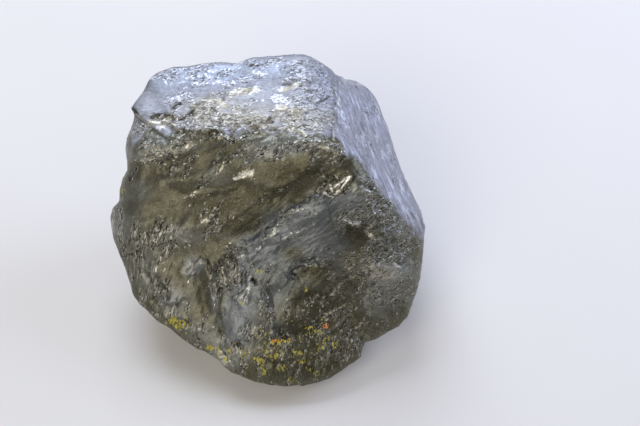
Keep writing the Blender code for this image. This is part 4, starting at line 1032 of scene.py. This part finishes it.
def graphite_look():
    n = Net("graphite_look")
    place_mm = n.scaled(n.add("ShaderNodeTexCoord").outputs["Object"], (1000.0, 1000.0, 1000.0))
    top, side, rear = n.field("top"), n.field("side"), n.field("rear")
    tone, warm, gold, cool = n.field("tone"), n.field("warm"), n.field("gold"), n.field("cool")
    chip, streak = n.field("chip"), n.field("streak")
    shine, crack = n.field("shine"), n.field("crack")
    hollow, wide = n.field("hollow"), n.field("hollow_wide")
    crust, orange = n.field("crust"), n.field("orange")
    # the top band and side face; where a colour is mixed by this, the second colour is the lighter copy painted there
    # as sky reflection
    lit = n.math("MAXIMUM", top, side)

    broad = n.noise(place_mm, 0.10, 3.0)
    near = n.noise(place_mm, 0.5, 4.0, 0.6)

    # the grain of each face, for flakes and fine lines
    lay = [n.add("ShaderNodeAttribute", attribute_name=f"lay_{k}",
                 attribute_type="GEOMETRY").outputs["Vector"] for k in range(4)]

    def each_face(make):
        value = make(lay[0])
        for share, way in ((top, lay[1]), (side, lay[2]), (rear, lay[3])):
            value = n.mix(share, value, make(way))
        return value

    flake = each_face(lambda way: n.voronoi(n.scaled(way, (0.45, 1.0, 0.8)), 2.6))
    speck = each_face(lambda way: n.voronoi(n.scaled(way, (0.50, 0.95, 0.8)), 3.7))
    lines = each_face(lambda way: n.noise(n.scaled(way, (0.26, 1.3, 0.5)), 1.0, 3.0, 0.6))
    flake_part = n.add("ShaderNodeSeparateColor")
    n.put(flake_part.inputs[0], flake)
    speck_part = n.add("ShaderNodeSeparateColor")
    n.put(speck_part.inputs[0], speck)
    line = n.math("SUBTRACT", lines, 0.5)

    # ground colour: olive grey on the front, painted darker as shade, and silver blue on the top band and the side
    # face, painted lighter as sky reflection; the smooth places are darker than the chipped ones
    grey = n.mix(n.span(broad, 0.35, 0.65), OLIVE, DUN)
    grey = n.mix(n.span(near, 0.35, 0.8, 0.0, 0.42), grey, PALE)
    grey = n.mix(n.math("MULTIPLY", n.span(warm, 0.0, 1.0), n.span(near, 0.3, 0.7)), grey, BROWN)
    grey = n.mix(n.math("MULTIPLY", n.span(cool, 0.05, 0.95), 0.95), grey,
                 n.mix(n.span(near, 0.35, 0.8), BLUE_GREY, BLUE_PALE))
    grey = n.mix(n.span(chip, 0.0, 1.0, 0.0, 0.45), grey, CHIPPED)
    # tone: partly the stone's own, partly painted light and shade
    grey = n.mix(n.span(tone, 0.0, 0.9), grey, n.mix(n.span(cool, 0.2, 0.8), TONE_PALE, TONE_COOL))
    grey = n.mix(n.span(tone, 0.9, 1.6, 0.0, 0.8), grey, TONE_BARE)
    grey = n.mix(n.span(tone, 0.0, -0.9), grey, DARK_OLIVE)
    band = n.mix(n.span(n.math("ADD", chip, n.math("MULTIPLY", n.math("SUBTRACT", near, 0.5), 0.6)), 0.0, 1.0),
                 SMOOTH_SILVER, SILVER)
    band = n.mix(n.math("MULTIPLY", n.span(warm, 0.0, 0.9, 0.0, 0.95), n.span(chip, 0.0, 0.5, 0.6, 1.0)), band, SILVER_CREAM)
    band = n.mix(n.span(tone, 0.0, 0.9, 0.0, 0.7), band, TOP_PALE)
    band = n.mix(n.span(tone, 0.0, -0.9, 0.0, 0.8), band, TOP_DARK)
    band = n.mix(n.span(cool, 0.0, 0.9, 0.0, 0.85), band, TOP_SKY_BLUE)
    flank = n.mix(n.span(near, 0.3, 0.7), SIDE_SKY_SILVER, SIDE_DULL)
    silver = n.mix(side, band, flank)
    grey = n.mix(lit, grey, silver)
    grey = n.mix(rear, grey, n.mix(n.span(near, 0.3, 0.7), n.mix(n.span(broad, 0.4, 0.6), REAR_DARK, REAR_GREY),
                                   n.mix(n.span(broad, 0.35, 0.6), REAR_GREY, REAR_PALE)))
    drift = n.math("ADD", line, n.math("MULTIPLY", streak, 0.18))
    share = n.blend(lit, 0.15, n.blend(side, 0.40, 0.95))
    grey = n.mix(n.span(drift, 0.04, 0.24, 0.0, share), grey, n.mix(lit, PALE_LINE, SILVER_LINE))
    grey = n.mix(n.span(drift, -0.06, -0.24, 0.0, share), grey, n.mix(lit, DARK_OLIVE, SILVER_DARK))
    grain = n.noise(place_mm, 2.6, 2.0, 0.65)
    grey = n.mix(n.span(grain, 0.53, 0.68, 0.0, n.blend(lit, 0.42, 0.30)), grey, n.mix(lit, PALE_LINE, SILVER_LINE))
    grey = n.mix(n.span(grain, 0.47, 0.32, 0.0, n.blend(lit, 0.55, 0.28)), grey, n.mix(lit, DARK_OLIVE, SILVER_DARK))
    # painted shade: the hollows are darkened toward dark olive
    grey = n.mix(n.math("MULTIPLY", n.span(hollow, 0.1, 1.0), 0.4), grey, DARK_OLIVE)
    grey = n.mix(n.math("MULTIPLY", n.span(wide, 0.2, 1.0), 0.2), grey, DARK_OLIVE)

    # flakes and specks: bright ones painted as glints, dark ones painted as the shade in tiny pits, more of them where
    # the surface is chipped
    runs = each_face(lambda way: n.noise(n.scaled(way, (0.35, 0.9, 0.6)), 1.0, 3.0, 0.65))
    thick = n.math("MULTIPLY", chip, n.blend(top, n.span(runs, 0.43, 0.64), n.span(runs, 0.32, 0.54)), clamp=True)
    bright_at = n.span(n.math("MAXIMUM", thick, n.math("MULTIPLY", shine, 1.4), clamp=True),
                       0.0, 1.0, 0.999, 0.64, smooth=False)
    dark_at = n.span(n.math("MAXIMUM", thick, n.math("MULTIPLY", crack, 1.6), clamp=True),
                     0.0, 1.0, 0.001, 0.36, smooth=False)
    # convex places get more painted glints
    ridge = n.math("MULTIPLY", n.span(hollow, 0.1, -0.8), n.span(chip, 0.0, 0.6, 0.03, 0.16))

    def beyond(value, limit):
        return n.math("GREATER_THAN", n.math("ADD", value, ridge), limit)

    bright = n.math("MAXIMUM", beyond(flake_part.outputs[0], n.math("ADD", bright_at, 0.06)),
                    beyond(speck_part.outputs[0], bright_at))
    dark = n.math("MAXIMUM", n.math("LESS_THAN", flake_part.outputs[0], n.math("MULTIPLY", dark_at, 0.7)),
                  n.math("LESS_THAN", speck_part.outputs[0], dark_at))
    golden = n.math("ADD", gold, n.math("MULTIPLY", n.math("MULTIPLY", warm, top), 0.45))
    glint = n.mix(n.span(n.math("ADD", golden, n.math("MULTIPLY", n.math("SUBTRACT", near, 0.5), 1.2)), 0.1, 0.8),
                  n.mix(lit, GLINT, GLINT_BLUE), n.mix(lit, GLINT_GOLD, GLINT_CREAM))
    colour = n.mix(n.math("MULTIPLY", dark, n.blend(lit, 0.88, 0.60)), grey, n.mix(lit, PAINTED_SHADE, PAINTED_SHADE_GREY))
    # painted shade along the crack lines
    colour = n.mix(n.math("MULTIPLY", n.span(crack, 0.2, 0.8), 0.85), colour, PAINTED_SHADE)
    # painted highlights along the shine lines
    colour = n.mix(n.math("MAXIMUM", n.span(shine, 1.05, 1.4, 0.0, 0.85), n.math(
        "MULTIPLY", n.span(shine, 0.25, 1.0, 0.0, n.blend(top, 0.7, 0.6)), n.span(n.noise(place_mm, 2.4, 3.0, 0.7), 0.44, 0.60))),
                   colour, glint)
    colour = n.mix(n.math("MULTIPLY", bright, n.math("ADD", n.math(
        "MULTIPLY", n.math("POWER", speck_part.outputs[1], n.blend(lit, 1.5, 1.2)), n.blend(lit, 0.80, 0.66)), 0.10)), colour, glint)
    colour = n.mix(n.math("MULTIPLY", n.span(gold, 0.3, 1.0), n.span(near, 0.42, 0.62)), colour, GOLDEN)
    sheen = n.span(shine, 1.15, 1.6)

    # thin plates: the surface steps along curled edges, with painted shade below each edge and a painted highlight on
    # its lip
    sheet = each_face(lambda way: n.noise(n.scaled(way, (0.42, 0.95, 0.75)), 0.85, 2.0, 0.55, 0.6))
    level = n.math("MULTIPLY", sheet, 3.2)
    part = n.math("FRACT", level)
    plates = n.math("ADD", n.math("FLOOR", level), n.span(part, 0.6, 1.0))
    torn = n.math("MULTIPLY", n.span(chip, 0.0, 0.8, 0.12, 1.0), n.span(n.noise(place_mm, 0.9, 3.0, 0.6), 0.40, 0.62))
    below = n.math("MULTIPLY", n.span(part, 0.40, 0.58), n.span(part, 0.82, 0.66))
    colour = n.mix(n.math("MULTIPLY", n.math("MULTIPLY", below, torn), n.blend(lit, 0.65, 0.32)), colour, n.mix(lit, PAINTED_SHADE, PAINTED_SHADE_GREY))
    colour = n.mix(n.math("MULTIPLY", n.math("MULTIPLY", n.span(part, 0.82, 0.95), torn), n.blend(lit, 0.75, 0.4)), colour, glint)

    # painted highlight: the brightest shine lines take the sheen colour
    colour = n.mix(n.math("MULTIPLY", sheen, n.span(n.noise(place_mm, 1.9, 2.0, 0.6), 0.36, 0.46, 0.1, 0.95)),
                   colour, n.mix(n.span(near, 0.45, 0.62), SHEEN, GLINT_GOLD))

    # yellow crust and orange stain
    grit = n.noise(place_mm, 1.7, 3.0, 0.65)
    grit_off = n.math("SUBTRACT", grit, 0.5)
    grain_off = n.math("SUBTRACT", flake_part.outputs[2], 0.5)
    broken = n.math("ADD", n.math("MULTIPLY", grit_off, 2.2), n.math("MULTIPLY", grain_off, 1.3))
    crust_mask = n.math("MULTIPLY", n.span(n.math("ADD", crust, broken), 0.90, 1.02), n.span(crust, 0.04, 0.12))
    orange_mask = n.math("MULTIPLY", n.span(n.math("ADD", orange, broken), 0.85, 0.95), n.span(orange, 0.1, 0.3))
    yellow = n.mix(speck_part.outputs[1], CRUST_DARK, CRUST_LIGHT)
    colour = n.mix(crust_mask, colour, yellow)
    colour = n.mix(orange_mask, colour, ORANGE_STAIN)
    any_crust = n.math("MAXIMUM", crust_mask, orange_mask, clamp=True)

    # every flake leans its own way, so some catch the light
    lean = n.span(chip, 0.0, 1.0, 0.045, n.blend(lit, 0.36, 0.30), smooth=False)

    def leaned(cell, amount):
        off = n.add("ShaderNodeVectorMath", operation="SUBTRACT")
        n.put(off.inputs[0], cell)
        off.inputs[1].default_value = (0.5, 0.5, 0.5)
        by = n.add("ShaderNodeVectorMath", operation="SCALE")
        n.put(by.inputs[0], off.outputs[0])
        n.put(by.inputs["Scale"], amount)
        return by.outputs[0]

    total = n.add("ShaderNodeVectorMath", operation="ADD")
    n.put(total.inputs[0], leaned(flake, lean))
    n.put(total.inputs[1], leaned(speck, n.math("MULTIPLY", lean, 0.8)))
    bump = n.add("ShaderNodeBump")
    n.put(bump.inputs["Strength"], n.math("MAXIMUM", n.span(chip, 0.0, 1.0, 0.10, 0.7), n.math("MULTIPLY", side, 0.8)))
    bump.inputs["Distance"].default_value = 0.00016
    n.put(bump.inputs["Height"], lines)
    bump_fine = n.add("ShaderNodeBump")
    n.put(bump_fine.inputs["Strength"], n.span(chip, 0.0, 1.0, 0.18, 0.6))
    bump_fine.inputs["Distance"].default_value = 0.00010
    n.put(bump_fine.inputs["Height"], n.noise(place_mm, 4.5, 3.0, 0.7))
    bump_mid = n.add("ShaderNodeBump")
    n.put(bump_mid.inputs["Strength"], n.span(chip, 0.0, 1.0, 0.10, 0.85))
    bump_mid.inputs["Distance"].default_value = 0.00030
    n.put(bump_mid.inputs["Height"], each_face(lambda way: n.noise(n.scaled(way, (0.55, 1.2, 0.9)), 1.7, 2.0, 0.5)))
    n.put(bump_mid.inputs["Normal"], bump.outputs["Normal"])
    bump_plates = n.add("ShaderNodeBump")
    n.put(bump_plates.inputs["Strength"], torn)
    bump_plates.inputs["Distance"].default_value = 0.00022
    n.put(bump_plates.inputs["Height"], plates)
    n.put(bump_plates.inputs["Normal"], bump_mid.outputs["Normal"])
    n.put(bump_fine.inputs["Normal"], bump_plates.outputs["Normal"])
    tilt = n.add("ShaderNodeVectorMath", operation="ADD")
    n.put(tilt.inputs[0], bump_fine.outputs["Normal"])
    n.put(tilt.inputs[1], total.outputs[0])
    unit = n.add("ShaderNodeVectorMath", operation="NORMALIZE")
    n.put(unit.inputs[0], tilt.outputs[0])

    gloss = n.span(n.noise(place_mm, 0.8, 4.0, 0.6), 0.3, 0.7, n.blend(lit, 0.34, 0.54), n.blend(lit, 0.48, 0.68), smooth=False)
    gloss = n.math("ADD", gloss, n.math("MULTIPLY", n.span(hollow, 0.0, 0.8), 0.12))
    gloss = n.blend(n.math("MULTIPLY", bright, 0.8), gloss, n.blend(top, 0.32, 0.42))
    gloss = n.blend(any_crust, gloss, 0.75)
    metal = n.span(n.noise(place_mm, 0.7, 3.0), 0.3, 0.7, 0.80, 0.97)
    metal = n.blend(n.math("MULTIPLY", n.span(warm, 0.3, 1.0), n.span(near, 0.4, 0.7)), metal, 0.45)
    metal = n.blend(any_crust, metal, 0.0)

    bsdf = n.add("ShaderNodeBsdfPrincipled")
    n.put(bsdf.inputs["Base Color"], colour)
    n.put(bsdf.inputs["Roughness"], gloss)
    n.put(bsdf.inputs["Metallic"], metal)
    n.put(bsdf.inputs["Normal"], unit.outputs[0])
    bsdf.inputs["Specular IOR Level"].default_value = 0.5
    out = n.add("ShaderNodeOutputMaterial")
    n.put(out.inputs["Surface"], bsdf.outputs[0])
    return n.material


def floor_look():
    n = Net("pale_floor")
    where = n.add("ShaderNodeTexCoord").outputs["Object"]
    bsdf = n.add("ShaderNodeBsdfPrincipled")
    far = n.add("ShaderNodeVectorMath", operation="LENGTH")
    n.put(far.inputs[0], where)
    n.put(bsdf.inputs["Base Color"], n.mix(
        n.span(far.outputs["Value"], 0.5, 2.2),
        n.mix(n.noise(where, 6.0, 3.0), rgb(0.74, 0.71, 0.665), rgb(0.78, 0.75, 0.705)), rgb(1.0, 1.0, 1.0)))
    n.put(bsdf.inputs["Roughness"], n.span(n.noise(where, 40.0, 2.0), 0.3, 0.7, 0.75, 0.85))
    out = n.add("ShaderNodeOutputMaterial")
    n.put(out.inputs["Surface"], bsdf.outputs[0])
    return n.material


# ================================================================ scene
def area_light(name, place_mm, aim_mm, size_mm, watts, colour):
    light = bpy.data.lights.new(name, "AREA")
    light.shape = "SQUARE"
    light.size = size_mm * MM
    light.energy = watts
    light.color = colour
    thing = bpy.data.objects.new(name, light)
    bpy.context.scene.collection.objects.link(thing)
    thing.location = Vector(place_mm) * MM
    thing.rotation_euler = (Vector(aim_mm) - Vector(place_mm)).to_track_quat("-Z", "Y").to_euler()
    thing.visible_camera = False
    return thing


def main():
    origin = cad_middle()
    lump = build_lump(origin)
    add_masks(lump, origin)
    lump.data.materials.clear()
    lump.data.materials.append(graphite_look())
    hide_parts("graphite_lump")
    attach(lump, "root")

    bm = bmesh.new()
    bmesh.ops.create_grid(bm, x_segments=8, y_segments=8, size=12.0)
    mesh = bpy.data.meshes.new("floor")
    bm.to_mesh(mesh)
    bm.free()
    floor = bpy.data.objects.new("floor", mesh)
    bpy.context.scene.collection.objects.link(floor)
    floor.data.materials.append(floor_look())

    area_light("back_window", (-120, 420, 520), (0, 0, 30), 420, 3.8, (0.75, 0.82, 1.0))
    area_light("side_window", (450, 200, 300), (0, 0, 30), 300, 1.6, (0.64, 0.72, 1.0))
    area_light("front_fill", (-250, -400, 450), (0, 0, 30), 500, 1.7, (1.0, 0.965, 0.90))

    bpy.context.scene.view_settings.view_transform = "Standard"
    world = bpy.data.worlds.new("studio")
    world.use_nodes = True
    background = world.node_tree.nodes["Background"]
    background.inputs["Color"].default_value = (0.92, 0.93, 0.95, 1.0)
    background.inputs["Strength"].default_value = 0.24
    bpy.context.scene.world = world

    camera = bpy.data.cameras.new("camera")
    camera.lens, camera.sensor_width = 60.0, 36.0
    camera.clip_start, camera.clip_end = 0.01, 40.0
    eye = bpy.data.objects.new("camera", camera)
    bpy.context.scene.collection.objects.link(eye)
    eye.location = Vector(SIGHT - origin) * MM
    eye.rotation_euler = Matrix((ACROSS, UP, OUT)).transposed().to_euler()
    bpy.context.scene.camera = eye


main()
